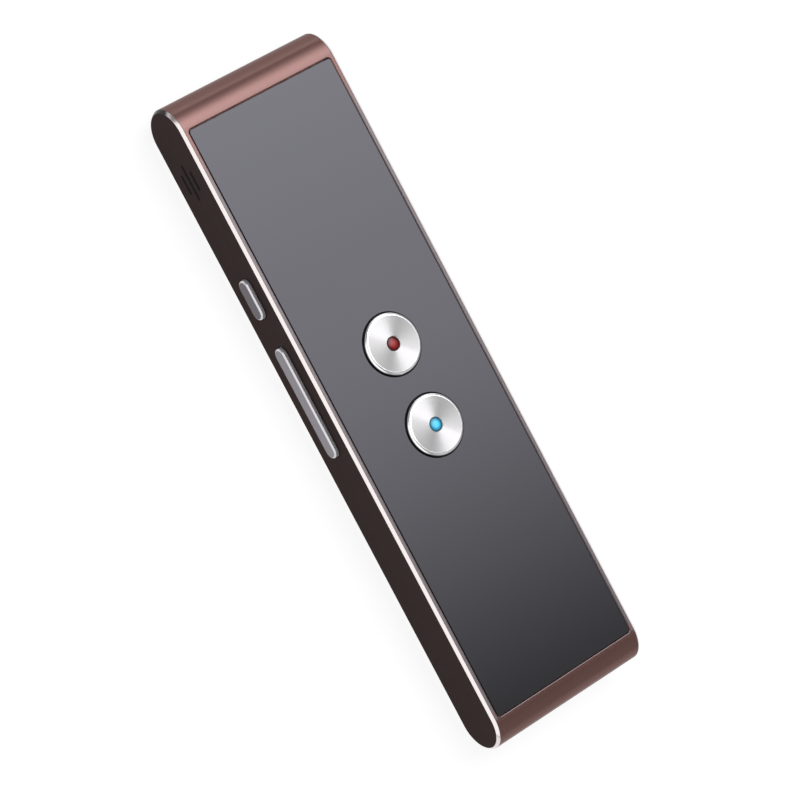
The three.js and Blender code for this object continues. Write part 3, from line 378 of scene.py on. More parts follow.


# Anodised aluminium, bead blasted before dyeing: an even satin sheen with the grain of the blast.
# The real grain is about 0.05 mm; it is drawn 0.16 mm wide so that it shows in a picture.
# Beside the glass a paler strip is painted highlight, the polished band's light carried onto the flat rim; it
# stops short of the ends.
def anodised_wrap(shade, rim, roughness, pane_low, pane_high):
    material, tree = fresh_material("anodised_aluminium_satin")
    place = object_place(tree)
    at = add(tree, "ShaderNodeSeparateXYZ", (place,)).node.outputs
    from_middle = add(tree, "ShaderNodeMath", (at["X"],), operation="ABSOLUTE")
    # the pane's outline in millimetres, as are the distances from it at which the painted highlight fades
    side, top = pane_high.x / MM, pane_high.z / MM
    low_end, high_end = pane_low.y / MM, pane_high.y / MM
    # the painted highlight's strip along the long sides of the glass
    beside = faded(
        tree,
        (from_middle, side, side + 0.4),
        (at["Y"], high_end - 1, high_end - 14),
        (at["Y"], low_end, low_end + 2),
    )
    # a painted glint: a pale line just below the pane's low edge, at 0.7 of the strip's paleness
    below = faded(
        tree,
        (at["Y"], low_end - 0.6, low_end - 0.5, 0.7),
        (at["Y"], low_end + 1, low_end),
    )
    # the painted highlight and the painted glint together, on the front only
    pale = add(tree, "ShaderNodeMath", (beside, below), operation="MAXIMUM")
    on_front = faded(tree, (at["Z"], top - 0.4, top - 0.1))
    cut = add(tree, "ShaderNodeMath", (pale, on_front), operation="MULTIPLY")
    # right beside the glass the paler strip is dimmed to half and recovers 0.9 mm away: painted shade at the
    # gap
    past_painted_gap_shade = faded(tree, (from_middle, side + 0.2, side + 0.9))
    grain = add(tree, "ShaderNodeTexNoise", {"Vector": place, "Scale": 6.0, "Detail": 3.0, "Roughness": 0.6})
    cloud = add(tree, "ShaderNodeTexNoise", {"Vector": place, "Scale": 0.09, "Detail": 2.0})
    base = mottled(tree, cloud, dimmed(shade, 0.96), dimmed(shade, 1.04), 0.3, 0.7)
    base = mottled(tree, grain, dimmed(shade, 0.93), base, 0.35, 0.7)
    # where the painted highlight lies, the base takes the rim's paler shade, dimmed into painted shade at the
    # gap
    base = mottled(tree, cut, base, mottled(tree, past_painted_gap_shade, dimmed(rim, 0.5), rim))
    rough = add(tree, "ShaderNodeMapRange", (grain, 0.3, 0.7, roughness - 0.03, roughness + 0.04))
    relief = {"Strength": 0.35, "Distance": 0.004 * MM, "Height": grain}
    shaded(
        tree,
        {
            "Base Color": base,
            "Metallic": 1.0,
            "Roughness": rough,
            "Normal": add(tree, "ShaderNodeBump", relief),
            "Specular Tint": (0.44, 0.32, 0.3, 1.0),
            "Coat Weight": 0.5,
            "Coat Roughness": 0.233,
            "Coat IOR": 1.5,
        },
    )
    return material


# The same metal on the flat sides, brushed lengthwise: fine lines along the body.
# Real brush lines are about 0.03 mm apart; they are drawn 0.12 mm apart so that they show.
# its shade, darker than the wrap's, is a painted dark reflection of the surroundings that the sides face
def anodised_side(shade):
    return grained(
        "anodised_aluminium_brushed",
        (dimmed(shade, 0.85), dimmed(shade, 1.12)),
        (1.0, 3.0, 0.6),
        {"Metallic": 1.0, "Specular Tint": (0.55, 0.5, 0.5, 1.0)},
        stretch=(8.0, 0.25, 8.0),
        span=(0.35, 0.65),
        bump=(0.003, 0.3),
        rough=(0.3, 0.4),
    )


# Diamond-cut aluminium: a milled mirror band with faint tool marks across it.
# Real tool marks are about 0.05 mm apart; they are drawn 0.2 mm apart so that they show.
# Past the given length and height, where the band turns down round the speaker end, its colour is darkened
# almost to black: a painted dark reflection.
def diamond_cut(name, shade, turn=None):
    material, tree = fresh_material(name)
    crosswise = {"Vector": object_place(tree, (1, 5, 1)), "Scale": 1.0, "Detail": 2.0}
    marks = add(tree, "ShaderNodeTexNoise", crosswise)
    base = mottled(tree, marks, dimmed(shade, 0.94), shade)
    if turn is not None:
        at = add(tree, "ShaderNodeSeparateXYZ", (object_place(tree),)).node.outputs
        along, up = turn.y / MM, turn.z / MM
        # painted dark reflection: the band darkens as it turns round the speaker end
        painted_dark_reflection = faded(tree, (at["Y"], along, along + 1), (at["Z"], up, up - 1.5))
        base = mottled(tree, painted_dark_reflection, base, dimmed(shade, 0.05))
    rough = add(tree, "ShaderNodeMapRange", (marks, 0.3, 0.7, 0.14, 0.2))
    shaded(tree, {"Base Color": base, "Metallic": 1.0, "Roughness": rough})
    return material


# Bare milled metal inside the shell: dull, with the swirl of the cutter in rings 0.5 mm apart.
def milled_inside():
    material, tree = fresh_material("anodised_aluminium_milled")
    swirl = {"Vector": object_place(tree), "Scale": 0.6, "Distortion": 1.5, "Detail": 2.0}
    wave = add(tree, "ShaderNodeTexWave", swirl, "Fac", wave_type="RINGS", rings_direction="Z")
    base = mottled(tree, wave, srgb("54423f"), srgb("6a5450"))
    shaded(tree, {"Base Color": base, "Metallic": 1.0, "Roughness": 0.45})
    return material


# Cover glass printed black behind: a deep black under a clear polish, with a trace of handling in smears
# about 8 mm wide.
# Its anti-reflective layer gives the reflections a faint blue cast.
def printed_glass(shade, roughness):
    material, tree = fresh_material("cover_glass_black")
    trace = {"Vector": object_place(tree), "Scale": 0.12, "Detail": 3.0, "Roughness": 0.55}
    smear = add(tree, "ShaderNodeTexNoise", trace)
    base = mottled(tree, smear, dimmed(shade, 0.9), dimmed(shade, 1.1), 0.3, 0.7)
    handled = (smear, 0.4, 0.75, roughness, roughness + 0.02)
    rough = add(tree, "ShaderNodeMapRange", handled, interpolation_type="SMOOTHSTEP")
    blue_cast = (0.94, 0.93, 1.0, 1.0)
    shaded(tree, {"Base Color": base, "Roughness": rough, "IOR": 1.52, "Specular Tint": blue_cast})
    return material


# Aluminium spun on a lathe: fine rings round each cap that draw the light into two bright fans.
# Real tool rings are about 0.05 mm apart; they are drawn 0.2 mm apart so that they show.
def spun_metal(name, shade, centre):
    ring_pitch = 0.2 * MM
    scratches = 9 / MM
    material, tree = fresh_material(name)
    flat, radius = about_axis(tree, centre)
    radial = add(tree, "ShaderNodeVectorMath", (flat,), operation="NORMALIZE")
    turn = add(tree, "ShaderNodeMath", (radius, 2 * math.pi / ring_pitch), operation="MULTIPLY")
    rings = add(tree, "ShaderNodeMath", (turn,), operation="SINE")
    outwards = add(tree, "ShaderNodeMath", (radius, scratches), operation="MULTIPLY")
    spaced = add(tree, "ShaderNodeCombineXYZ", {"X": outwards})
    uneven = {"Vector": spaced, "Scale": 1.0, "Detail": 3.0, "Roughness": 0.7}
    scratch = add(tree, "ShaderNodeTexNoise", uneven)
    tone = add(tree, "ShaderNodeMath", (rings, 0.15, scratch), operation="MULTIPLY_ADD")
    relief = {"Strength": 0.5, "Distance": 0.004 * MM, "Height": scratch}
    shaded(
        tree,
        {
            "Base Color": mottled(tree, tone, dimmed(shade, 0.8), shade, 0.3, 0.75),
            "Metallic": 1.0,
            "Roughness": 0.52,
            "Anisotropic": 0.99,
            "Tangent": radial,
            "Normal": add(tree, "ShaderNodeBump", relief),
        },
    )
    return material


# Dyed acrylic, injection moulded and polished: deep colour in the dome, with clouds 0.8 mm wide in the dye.
# Towards the edge the colour darkens: painted shade where the cap's hole shades the lens, and on the lit blue
# lens where the lamp's light falls off.
def moulded_lens(name, shade, glow, centre, radius):
    material, tree = fresh_material(name)
    cloud = add(tree, "ShaderNodeTexNoise", {"Vector": object_place(tree), "Scale": 1.2, "Detail": 1.0})
    base = mottled(tree, cloud, dimmed(shade, 0.85), shade)
    _, from_axis = about_axis(tree, centre)
    # painted shade: the lens darkens towards its edge, and so does its glow
    rim = faded(tree, (from_axis, 0.25 * radius, 0.95 * radius))
    base = mottled(tree, rim, base, dimmed(shade, 0.18))
    dyed = {"Base Color": base, "Roughness": 0.22, "IOR": 1.49, "Specular IOR Level": 0.3}
    shaded(tree, {**dyed, "Emission Color": base, "Emission Strength": glow})
    return material


# Clear-cast epoxy of the small lamps: glossy, tinted, and slightly cloudy, in clouds 0.5 mm wide.
def lamp_epoxy(name, hex_code):
    material, tree = fresh_material(name)
    shade = srgb(hex_code)
    cloud = add(tree, "ShaderNodeTexNoise", {"Vector": object_place(tree), "Scale": 2.0, "Detail": 1.0})
    base = mottled(tree, cloud, dimmed(shade, 0.8), shade)
    cast = {"Base Color": base, "Roughness": 0.15, "IOR": 1.53}
    shaded(tree, {**cast, "Emission Color": base, "Emission Strength": 0.3})
    return material


# Bead-blasted aluminium, as on the side keys: pale and even, with a fine grain.
# The real grain is about 0.05 mm; it is drawn 0.15 mm wide so that it shows.
def blasted_metal(name, shade, roughness, bare=1.0):
    shades = dimmed(shade, 0.92), dimmed(shade, 1.05)
    inputs = {"Metallic": bare, "Roughness": roughness}
    return grained(name, shades, (7.0, 2.0, 0.6), inputs, span=(0.35, 0.65), bump=(0.003, 0.3))


# Moulded plastic with a spark-eroded texture: soft gloss broken by a fine pebble.
# The real pebble is about 0.1 mm wide; it is drawn 0.2 mm wide.
def moulded_plastic(name, hex_code, roughness, pebble=5.0):
    shades = dimmed(srgb(hex_code), 0.85), srgb(hex_code)
    inputs = {"Roughness": roughness, "IOR": 1.47}
    return grained(name, shades, (pebble, 2.0, 0.5), inputs, span=(0.35, 0.65), bump=(0.01, 0.3))


# Wire insulation, extruded: even colour with faint streaks from the die, 0.4 mm wide.
def wire_cover(name, hex_code):
    shades = dimmed(srgb(hex_code), 0.8), srgb(hex_code)
    return grained(name, shades, (2.5, 2.0, 0.5), {"Roughness": 0.45, "IOR": 1.5})


# Glass-fibre circuit board under green solder mask: traces show as raised paler lines 1 mm apart, and the
# fibres' weave as spots 0.3 mm wide.
def circuit_board():
    material, tree = fresh_material("circuit_board_fr4")
    place = object_place(tree)
    grid = {"Vector": place, "Scale": 0.5, "Mortar Size": 0.1, "Mortar Smooth": 0.1}
    traces = add(
        tree,
        "ShaderNodeTexBrick",
        {**grid, "Brick Width": 1.9, "Row Height": 0.5},
        "Fac",
        offset=0.37,
        squash=1.0,
    )
    weave = add(tree, "ShaderNodeTexNoise", {"Vector": place, "Scale": 3.0, "Detail": 2.0})
    mask = mottled(tree, weave, srgb("123d27"), srgb("1c5636"))
    base = mottled(tree, traces, mask, srgb("2f7d4e"))
    normal = add(tree, "ShaderNodeBump", {"Strength": 0.6, "Distance": 0.03 * MM, "Height": traces})
    shaded(tree, {"Base Color": base, "Roughness": 0.32, "IOR": 1.5, "Coat Weight": 0.3, "Normal": normal})
    return material


# Polyimide flexible circuit: amber film with copper lines 0.9 mm apart seen through it.
def flexible_circuit():
    line_pitch = 0.9
    material, tree = fresh_material("polyimide_film_laminated")
    at = add(tree, "ShaderNodeSeparateXYZ", (object_place(tree),)).node.outputs
    turn = add(tree, "ShaderNodeMath", (at["X"], 2 * math.pi / line_pitch), operation="MULTIPLY")
    stripe = add(tree, "ShaderNodeMath", (turn,), operation="SINE")
    line = add(tree, "ShaderNodeMapRange", (stripe, 0.0, 0.3, 0, 1))
    base = mottled(tree, line, srgb("8a4a12"), srgb("c07a33"))
    normal = add(tree, "ShaderNodeBump", {"Strength": 1.0, "Distance": 0.02 * MM, "Height": line})
    shaded(tree, {"Base Color": base, "Roughness": 0.35, "IOR": 1.6, "Coat Weight": 0.4, "Normal": normal})
    return material


# Die-cut foam: open cells about 0.3 mm wide that swallow the light.
def die_cut_foam():
    material, tree = fresh_material("polyurethane_foam_die_cut")
    cells = add(tree, "ShaderNodeTexVoronoi", {"Vector": object_place(tree), "Scale": 3.3}, "Distance")
    base = mottled(tree, cells, srgb("1b1b1d"), srgb("3a3a3e"))
    normal = add(tree, "ShaderNodeBump", {"Strength": 0.8, "Distance": 0.1 * MM, "Height": cells})
    shaded(tree, {"Base Color": base, "Roughness": 0.95, "Normal": normal})
    return material


# The plain finishes of the small pieces, each as the function grained takes it, with its shades as hex values
PLAIN_FINISHES = {
    # cold-rolled sheet: grey with faint rolling lines along it, 0.2 mm apart
    "steel_cold_rolled": {
        "shades": ("8f9194", "b3b5b8"),
        "grain": (1.0, 2.0, 0.5),
        "inputs": {"Metallic": 1.0},
        "stretch": (5.0, 0.4, 5.0),
        "rough": (0.28, 0.4),
    },
    # battery pouch foil: drawn aluminium laminate with soft dents about 3 mm wide
    "aluminium_laminate_drawn": {
        "shades": ("a3a6aa", "c0c3c6"),
        "grain": (0.35, 2.0, 0.5),
        "inputs": {"Metallic": 1.0, "Roughness": 0.38},
        "bump": (0.25, 0.5),
    },
    # moulded rubber: dark, with no gloss and a soft bloom in spots 0.7 mm wide
    "silicone_rubber_moulded": {
        "shades": ("18181a", "29292c"),
        "grain": (1.4, 3.0, 0.5),
        "inputs": {"Roughness": 0.8, "IOR": 1.43},
        "bump": (0.02, 0.4),
    },
    # double-sided acrylic tape: milky, and wavy every 1.2 mm
    "acrylic_tape_coated": {
        "shades": ("3a3a3e", "55555a"),
        "grain": (0.8, 2.0, 0.5),
        "inputs": {"Roughness": 0.3, "IOR": 1.47},
        "bump": (0.03, 0.4),
    },
    # epoxy chip package, transfer moulded: matt black with a filler's speckle; the real grains are about
    # 0.03 mm wide and are drawn 0.12 mm wide
    "epoxy_moulding_compound": {
        "shades": ("141416", "2a2a2d"),
        "grain": (8.0, 2.0, 0.5),
        "inputs": {"Roughness": 0.6, "IOR": 1.55},
        "bump": (0.004, 0.4),
    },
    # woven stainless wire: dull steel that the mesh's gaps break up, uneven every 0.2 mm
    "stainless_steel_woven": {
        "shades": ("8c8482", "a8a09d"),
        "grain": (5.0, 1.0, 0.5),
        "inputs": {"Metallic": 1.0, "Roughness": 0.5},
    },
    # gold-flashed copper contacts: warm and clean, wiped along their length in lines about 0.17 mm apart
    "copper_gold_plated": {
        "shades": ("c79a4a", "e6bd6c"),
        "grain": (1.0, 1.0, 0.5),
        "inputs": {"Metallic": 1.0, "Roughness": 0.25},
        "stretch": (1, 6, 1),
    },
}


def plain_finish(name):
    given = PLAIN_FINISHES[name]
    return grained(name, **{**given, "shades": [srgb(hex_code) for hex_code in given["shades"]]})


def assign(node, material):
    piece = nodes[node]
    piece.data.materials.clear()
    piece.data.materials.append(material)


# Geometry trees


def fresh_tree(name, inputs):
    """A geometry tree and the sockets of its inputs, which are given as names with their kinds of socket."""
    tree = bpy.data.node_groups.new(name, "GeometryNodeTree")
    for label, kind in inputs.items():
        tree.interface.new_socket(label, in_out="INPUT", socket_type="NodeSocket" + kind)
    tree.interface.new_socket("Geometry", in_out="OUTPUT", socket_type="NodeSocketGeometry")
    return tree, add(tree, "NodeGroupInput").node.outputs


def end_tree(tree, instances, finish):
    """Makes the instances real and gives them their material."""
    real = add(tree, "GeometryNodeRealizeInstances", (instances,))
    dressed = add(tree, "GeometryNodeSetMaterial", {"Geometry": real, "Material": finish})
    add(tree, "NodeGroupOutput", (dressed,))


def baked(host, tree, values):
    """Runs a tree on its host object and keeps the result as a plain mesh."""
    modifier = host.modifiers.new(tree.name, "NODES")
    modifier.node_group = tree
    for item in tree.interface.items_tree:
        if item.item_type == "SOCKET" and item.in_out == "INPUT" and item.name in values:
            value = values[item.name]
            modifier[item.identifier] = list(value) if isinstance(value, Vector) else value
    graph = bpy.context.evaluated_depsgraph_get()
    graph.update()
    mesh = bpy.data.meshes.new_from_object(host.evaluated_get(graph), depsgraph=graph)
    if not mesh.polygons:
        raise RuntimeError(host.name + " came out empty")
    host.modifiers.clear()
    mesh.name = host.name
    host.data = mesh
    return host


class TRANSLATOR_OT_shell(Operator):
    """Build the metal shell with its satin wrap, brushed sides and polished chamfers"""

    bl_idname = "translator.shell"
    bl_label = "Shell"

    # the width of the solid's bevelled band, and how close counts as on one of its edges
    chamfer = 0.75 * MM
    near = 0.06 * MM
    # the finishes, in the order of the shell's materials
    wrap, side, band, inside, in_opening = range(5)

    def execute(self, context):
        sizes = context.scene.translator_shell
        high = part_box("housing")[1]
        pane_low, pane_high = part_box("front_glass")
        shape = merged_copy("housing")
        widest = max(sizes.edge_bevel, sizes.rim_bevel, sizes.band_round, 1e-9)
        self.weigh_edges(shape, high, pane_high, widest, sizes)
        for face in shape.faces:
            face.material_index = self.finish_of(face, high)
        self.trim_band(shape, high, sizes)
        smooth_shaded(shape, sharp_degrees=12)
        # the band's painted dark reflection sets in at the start of the end's round and at this height on it
        turn = Vector((0, high.y - high.z / 2, 0.88 * high.z))
        # the openings' walls take the sides' shade dimmed to 0.6: painted shade inside the slots and the key
        # holes
        painted_slot_shade = dimmed(sizes.side, 0.6)
        materials = [
            anodised_wrap(tuple(sizes.wrap), tuple(sizes.rim), sizes.wrap_roughness, pane_low, pane_high),
            anodised_side(tuple(sizes.side)),
            diamond_cut("aluminium_diamond_cut", tuple(sizes.chamfer), turn),
            milled_inside(),
            blasted_metal("anodised_aluminium_in_openings", painted_slot_shade, roughness=0.75, bare=0.0),
        ]
        shell = from_bmesh("shell", shape, materials)
        rounded(shell, widest, segments=4)
        finish_piece(shell, "body", "anodised_aluminium", "housing")
        return {"FINISHED"}

    def weigh_edges(self, shape, high, pane_high, widest, sizes):
        """Gives each sharp edge the share of the widest bevel that it gets."""
        rim_depth = 0.1 * MM
        rim_width = 0.6 * MM
        end_depth = 0.35 * MM
        hole_reach = 1.2 * MM
        weights = bevel_layer(shape)
        for edge in shape.edges:
            if sharp_at(edge) < math.radians(25):
                continue
            places = [vert.co for vert in edge.verts]
            farthest_x = max(abs(place.x) for place in places)
            farthest_y = max(abs(place.y) for place in places)
            no_side_face = max(abs(face.normal.x) for face in edge.link_faces) < 0.9
            if min(abs(place.x) for place in places) > high.x - self.chamfer - self.near:
                at_wrap = farthest_x < high.x - self.chamfer + self.near and no_side_face
                edge[weights] = (sizes.band_round if at_wrap else sizes.edge_bevel) / widest
                continue
            # the pocket's rim: one face is the pocket's upright wall, the other is the outside
            wall = any(abs(face.normal.z) < 0.02 for face in edge.link_faces)
            outside = any(face.normal.z > 0.7 for face in edge.link_faces)
            at_top = min(place.z for place in places) > high.z - rim_depth
            if wall and outside and at_top and farthest_x < pane_high.x + rim_width:
                edge[weights] = sizes.rim_bevel / widest
            # the microphone's hole in the low end
            if farthest_y > high.y - end_depth and no_side_face and farthest_x < hole_reach:
                edge[weights] = sizes.edge_bevel / widest

    def finish_of(self, face, high):
        """Which of the shell's finishes a face has."""
        opening_depth = 2 * MM
        opening_margin = 1.2 * MM
        outer_skin = 0.35 * MM
        side_skin = 0.9 * MM
        centre = face.calc_center_median()
        lean = abs(face.normal.x)
        from_side = high.x - abs(centre.x)
        radius = high.z / 2
        # how far the face is from the bar's spine, as its round ends have it
        from_spine = math.hypot(max(abs(centre.y) - (high.y - radius), 0), centre.z - radius)
        outer = from_side < self.chamfer + self.near
        if outer and lean > 0.99:
            return self.side
        if outer and 0.6 < lean < 0.8:
            return self.band
        if lean < 0.3 and from_side < opening_depth and from_spine < radius - opening_margin:
            return self.in_opening
        if from_spine < radius - outer_skin and from_side > side_skin:
            return self.inside
        return self.wrap

    def trim_band(self, shape, high, sizes):
        """Narrows the bevelled band by moving its two outlines, inside the bar's own box."""
        radius = high.z / 2
        flat_half = high.y - radius
        near = 0.02 * MM
        for vert in shape.verts:
            axis = Vector((vert.co.x, max(-flat_half, min(flat_half, vert.co.y)), radius))
            outward = vert.co - axis
            if abs(vert.co.x) > high.x - near and outward.length > radius - self.chamfer - near:
                vert.co = axis + outward.normalized() * (radius - sizes.band_side)
            elif abs(abs(vert.co.x) - high.x + self.chamfer) < near and outward.length > radius - near:
                vert.co.x = math.copysign(high.x - sizes.band_front, vert.co.x)
        shape.normal_update()


class TRANSLATOR_OT_glass(Operator):
    """Build the black cover glass with its ground edges"""

    bl_idname = "translator.glass"
    bl_label = "Cover glass"

    def execute(self, context):
        sizes = context.scene.translator_glass
        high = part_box("front_glass")[1]
        shape = merged_copy("front_glass")
        long_side = high.x - 0.6 * MM
        for vert in shape.verts:
            if abs(vert.co.x) > long_side:
                vert.co.x += math.copysign(sizes.reach, vert.co.x)
        top = high.z - 0.02 * MM
        weigh_sharp(shape, degrees=60, chosen=lambda place: place.z > top)
        smooth_shaded(shape, sharp_degrees=30)
        pane = from_bmesh("cover_pane", shape, [printed_glass(tuple(sizes.tint), sizes.roughness)])
        rounded(pane, sizes.edge_bevel)
        finish_piece(pane, "body", "black_glass", "front_glass")
        assign("glass_adhesive", plain_finish("acrylic_tape_coated"))
        return {"FINISHED"}


class TRANSLATOR_OT_buttons(Operator):
    """Turn the two spun caps with their rings, and mould their domed lenses"""

    bl_idname = "translator.buttons"
    bl_label = "Front buttons"

    def execute(self, context):
        sizes = context.scene.translator_buttons
        for which, shade, glow in (("red", sizes.red, 0.0), ("blue", sizes.blue, sizes.glow)):
            self.cap(which, sizes)
            self.lens(which, sizes, tuple(shade), glow)
            assign(which + "_switch_plunger", moulded_plastic("nylon_moulded_black", "1d1d20", roughness=0.5))
        return {"FINISHED"}

    def cap(self, which, sizes):
        low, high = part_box(which + "_button_cap")
        centre = (low + high) / 2
        outer = (high.x - low.x) / 2
        inner = 1.5 * MM
        bevel = 0.65 * MM
        dish = 0.12 * MM
        fine_break = 0.1 * MM
        hole_break = 0.12 * MM
        edge_steps = 12
        ring_steps = 4
        flat = outer - bevel
        shoulder = high.z - bevel
        profile = [
            (inner, low.z),
            (outer - fine_break, low.z),
            (outer, low.z + fine_break),
            (outer, shoulder),
        ]
        for step in range(1, edge_steps):
            lean = step / edge_steps * math.pi / 2
            profile.append((flat + bevel * math.cos(lean), shoulder + bevel * math.sin(lean)))
        profile.append((flat, high.z))
        steps = sizes.rings * ring_steps
        for step in range(1, steps + 1):
            share = step / steps
            radius = flat + (inner + hole_break - flat) * share
            wave = sizes.ring_height * (math.cos(2 * math.pi * step / ring_steps) - 1) / 2
            profile.append((radius, high.z - dish * share + wave))
        profile.append((inner, high.z - dish - fine_break))
        profile.append((inner, low.z))
        shape = lathe(profile, centre, steps=256)
        bmesh.ops.remove_doubles(shape, verts=shape.verts, dist=0.0005 * MM)
        bmesh.ops.recalc_face_normals(shape, faces=shape.faces)
        smooth_shaded(shape, sharp_degrees=50)
        for face in shape.faces:
            place = face.calc_center_median() - centre
            face.material_index = 1 if math.hypot(place.x, place.y) > flat - 0.01 * MM else 0
        metal = spun_metal("aluminium_spun_" + which, tuple(sizes.metal), centre)
        bright = diamond_cut("aluminium_diamond_cut_" + which, srgb("f2f2f3"))
        piece = from_bmesh(which + "_cap_spun", shape, [metal, bright])
        finish_piece(piece, which + "_button", "spun_aluminium", which + "_button_cap")

    def lens(self, which, sizes, shade, glow):
        low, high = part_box(which + "_button_lens")
        centre = (low + high) / 2
        cap_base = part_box(which + "_button_cap")[0].z
        flange = (high.x - low.x) / 2
        flange_top = low.z + 0.5 * MM
        carrier = 5.6 * MM
        radius = 1.4 * MM
        dome_steps = 8
        profile = [
            (0, low.z),
            (flange, low.z),
            (flange, flange_top),
            (carrier, flange_top),
            (carrier, cap_base),
            (radius, cap_base),
            (radius, high.z - sizes.dome),
        ]
        for step in range(1, dome_steps):
            lean = step / dome_steps * math.pi / 2
            profile.append((radius * math.cos(lean), high.z - sizes.dome * (1 - math.sin(lean))))
        profile.append((0, high.z))
        shape = lathe(profile, centre, steps=64)
        smooth_shaded(shape, sharp_degrees=40)
        for face in shape.faces:
            place = face.calc_center_median() - centre
            face.material_index = 0 if math.hypot(place.x, place.y) < radius * 1.01 and place.z > 0 else 1
        acrylic = moulded_lens("acrylic_moulded_" + which, shade, glow, centre, radius)
        smoke = moulded_plastic("acrylic_moulded_smoke", "141416", roughness=0.35)
        piece = from_bmesh(which + "_lens_domed", shape, [acrylic, smoke])
        finish_piece(piece, which + "_button", which + "_lens", which + "_button_lens")


class TRANSLATOR_OT_keys(Operator):
    """Round the two side keys and polish their edges"""

    bl_idname = "translator.keys"
    bl_label = "Side keys"

    def execute(self, context):
        sizes = context.scene.translator_keys
        edge = blasted_metal("aluminium_polished_key", tuple(sizes.edge), roughness=0.3)
        wall = blasted_metal("aluminium_anodised_key_wall", tuple(sizes.wall), roughness=0.6, bare=0.35)
        for node, body, shade in (
            ("power_key", "power_button", sizes.power),
            ("volume_key", "volume_rocker", sizes.volume),
        ):
            face = blasted_metal("aluminium_blasted_" + node, tuple(shade), roughness=0.42)
            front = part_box(node)[0].x + 0.4 * MM
            shape = merged_copy(node)
            for patch in shape.faces:
                lean = -patch.normal.x
                patch.material_index = 2
                if patch.calc_center_median().x < front and lean > 0.1:
                    patch.material_index = 0 if lean > 0.98 else 1
            weigh_sharp(shape, degrees=35, chosen=lambda place: place.x < front)
            smooth_shaded(shape, sharp_degrees=35)
            piece = from_bmesh(node + "_cap", shape, [face, edge, wall])
            rounded(piece, sizes.round_over, segments=4)
            finish_piece(piece, body, "key_aluminium", node)
        steel = plain_finish("steel_cold_rolled")
        white = moulded_plastic("nylon_moulded_white", "e9e6dc", roughness=0.4)
        for name in ("power", "volume_up", "volume_down"):
            assign(name + "_switch_plunger", white)
            assign(name + "_switch_body", steel)
        assign("key_bracket", steel)
        assign("key_flex", flexible_circuit())
        return {"FINISHED"}


class TRANSLATOR_OT_speaker(Operator):
    """Weave the dust mesh behind the slots and dress the speaker"""

    bl_idname = "translator.speaker"
    bl_label = "Speaker"

    def execute(self, context):
        sizes = context.scene.translator_speaker
        low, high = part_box("speaker_mesh")
        host = remade("speaker_mesh_woven", bpy.data.meshes.new("speaker_mesh_woven"))
        values = {
            "Pitch": sizes.pitch,
            "Wire": sizes.wire / 2,
            "Low": low,
            "High": high,
            "Finish": plain_finish("stainless_steel_woven"),
        }
        piece = baked(host, self.weave_tree(), values)
        for face in piece.data.polygons:
            face.use_smooth = True
        finish_piece(piece, "body", "steel", "speaker_mesh")
        assign("speaker_basket", moulded_plastic("abs_moulded_black", "1f1f22", roughness=0.45))
        assign("speaker_cone", moulded_plastic("mylar_formed", "2c2c30", roughness=0.3, pebble=2.0))
        assign("speaker_magnet", plain_finish("steel_cold_rolled"))
        assign("speaker_gasket", die_cut_foam())
        assign("speaker_lead_red", wire_cover("pvc_extruded_red", "b1281f"))
        assign("speaker_lead_black", wire_cover("pvc_extruded_black", "1b1b1d"))
        return {"FINISHED"}

    @staticmethod
    def weave_tree():
        """A grid of upright and lengthwise wires that fills the box between Low and High, in the YZ plane."""
        inputs = {"Pitch": "Float", "Wire": "Float", "Low": "Vector", "High": "Vector", "Finish": "Material"}
        tree, given = fresh_tree("woven_dust_mesh", inputs)
        wire, pitch = given["Wire"], given["Pitch"]
        low = add(tree, "ShaderNodeSeparateXYZ", (given["Low"],)).node.outputs
        high = add(tree, "ShaderNodeSeparateXYZ", (given["High"],)).node.outputs
        both_x = add(tree, "ShaderNodeMath", (low["X"], high["X"]), operation="ADD")
        middle_x = add(tree, "ShaderNodeMath", (both_x, 0.5), operation="MULTIPLY")
        profile = add(tree, "GeometryNodeCurvePrimitiveCircle", {"Resolution": 6, "Radius": wire})
        layers = []
        for along, across, side in (("Z", "Y", -0.5), ("Y", "Z", 0.5)):
            start = add(tree, "ShaderNodeMath", (low[across], wire), operation="ADD")
            end = add(tree, "ShaderNodeMath", (high[across], wire), operation="SUBTRACT")
            span = add(tree, "ShaderNodeMath", (end, start), operation="SUBTRACT")
            pitches = add(tree, "ShaderNodeMath", (span, pitch), operation="DIVIDE")
            whole = add(tree, "ShaderNodeMath", (pitches,), operation="FLOOR")
            count = add(tree, "ShaderNodeMath", (whole, 1.0), operation="ADD")
            x = add(tree, "ShaderNodeMath", (wire, side, middle_x), operation="MULTIPLY_ADD")
            first = add(tree, "ShaderNodeCombineXYZ", {"X": x, across: start, along: low[along]})
            last = add(tree, "ShaderNodeCombineXYZ", {"X": x, across: end, along: low[along]})
            row = {"Count": count, "Start Location": first, "Offset": last}
            points = add(tree, "GeometryNodeMeshLine", row, mode="END_POINTS")
            reach = add(tree, "ShaderNodeMath", (high[along], low[along]), operation="SUBTRACT")
            tip = add(tree, "ShaderNodeCombineXYZ", {along: reach})
            line = add(tree, "GeometryNodeCurvePrimitiveLine", {"End": tip})
            drawn = {"Curve": line, "Profile Curve": profile, "Fill Caps": True}
            strand = add(tree, "GeometryNodeCurveToMesh", drawn)
            layers.append(add(tree, "GeometryNodeInstanceOnPoints", {"Points": points, "Instance": strand}))
        end_tree(tree, add(tree, "GeometryNodeJoinGeometry", (layers,)), given["Finish"])
        return tree


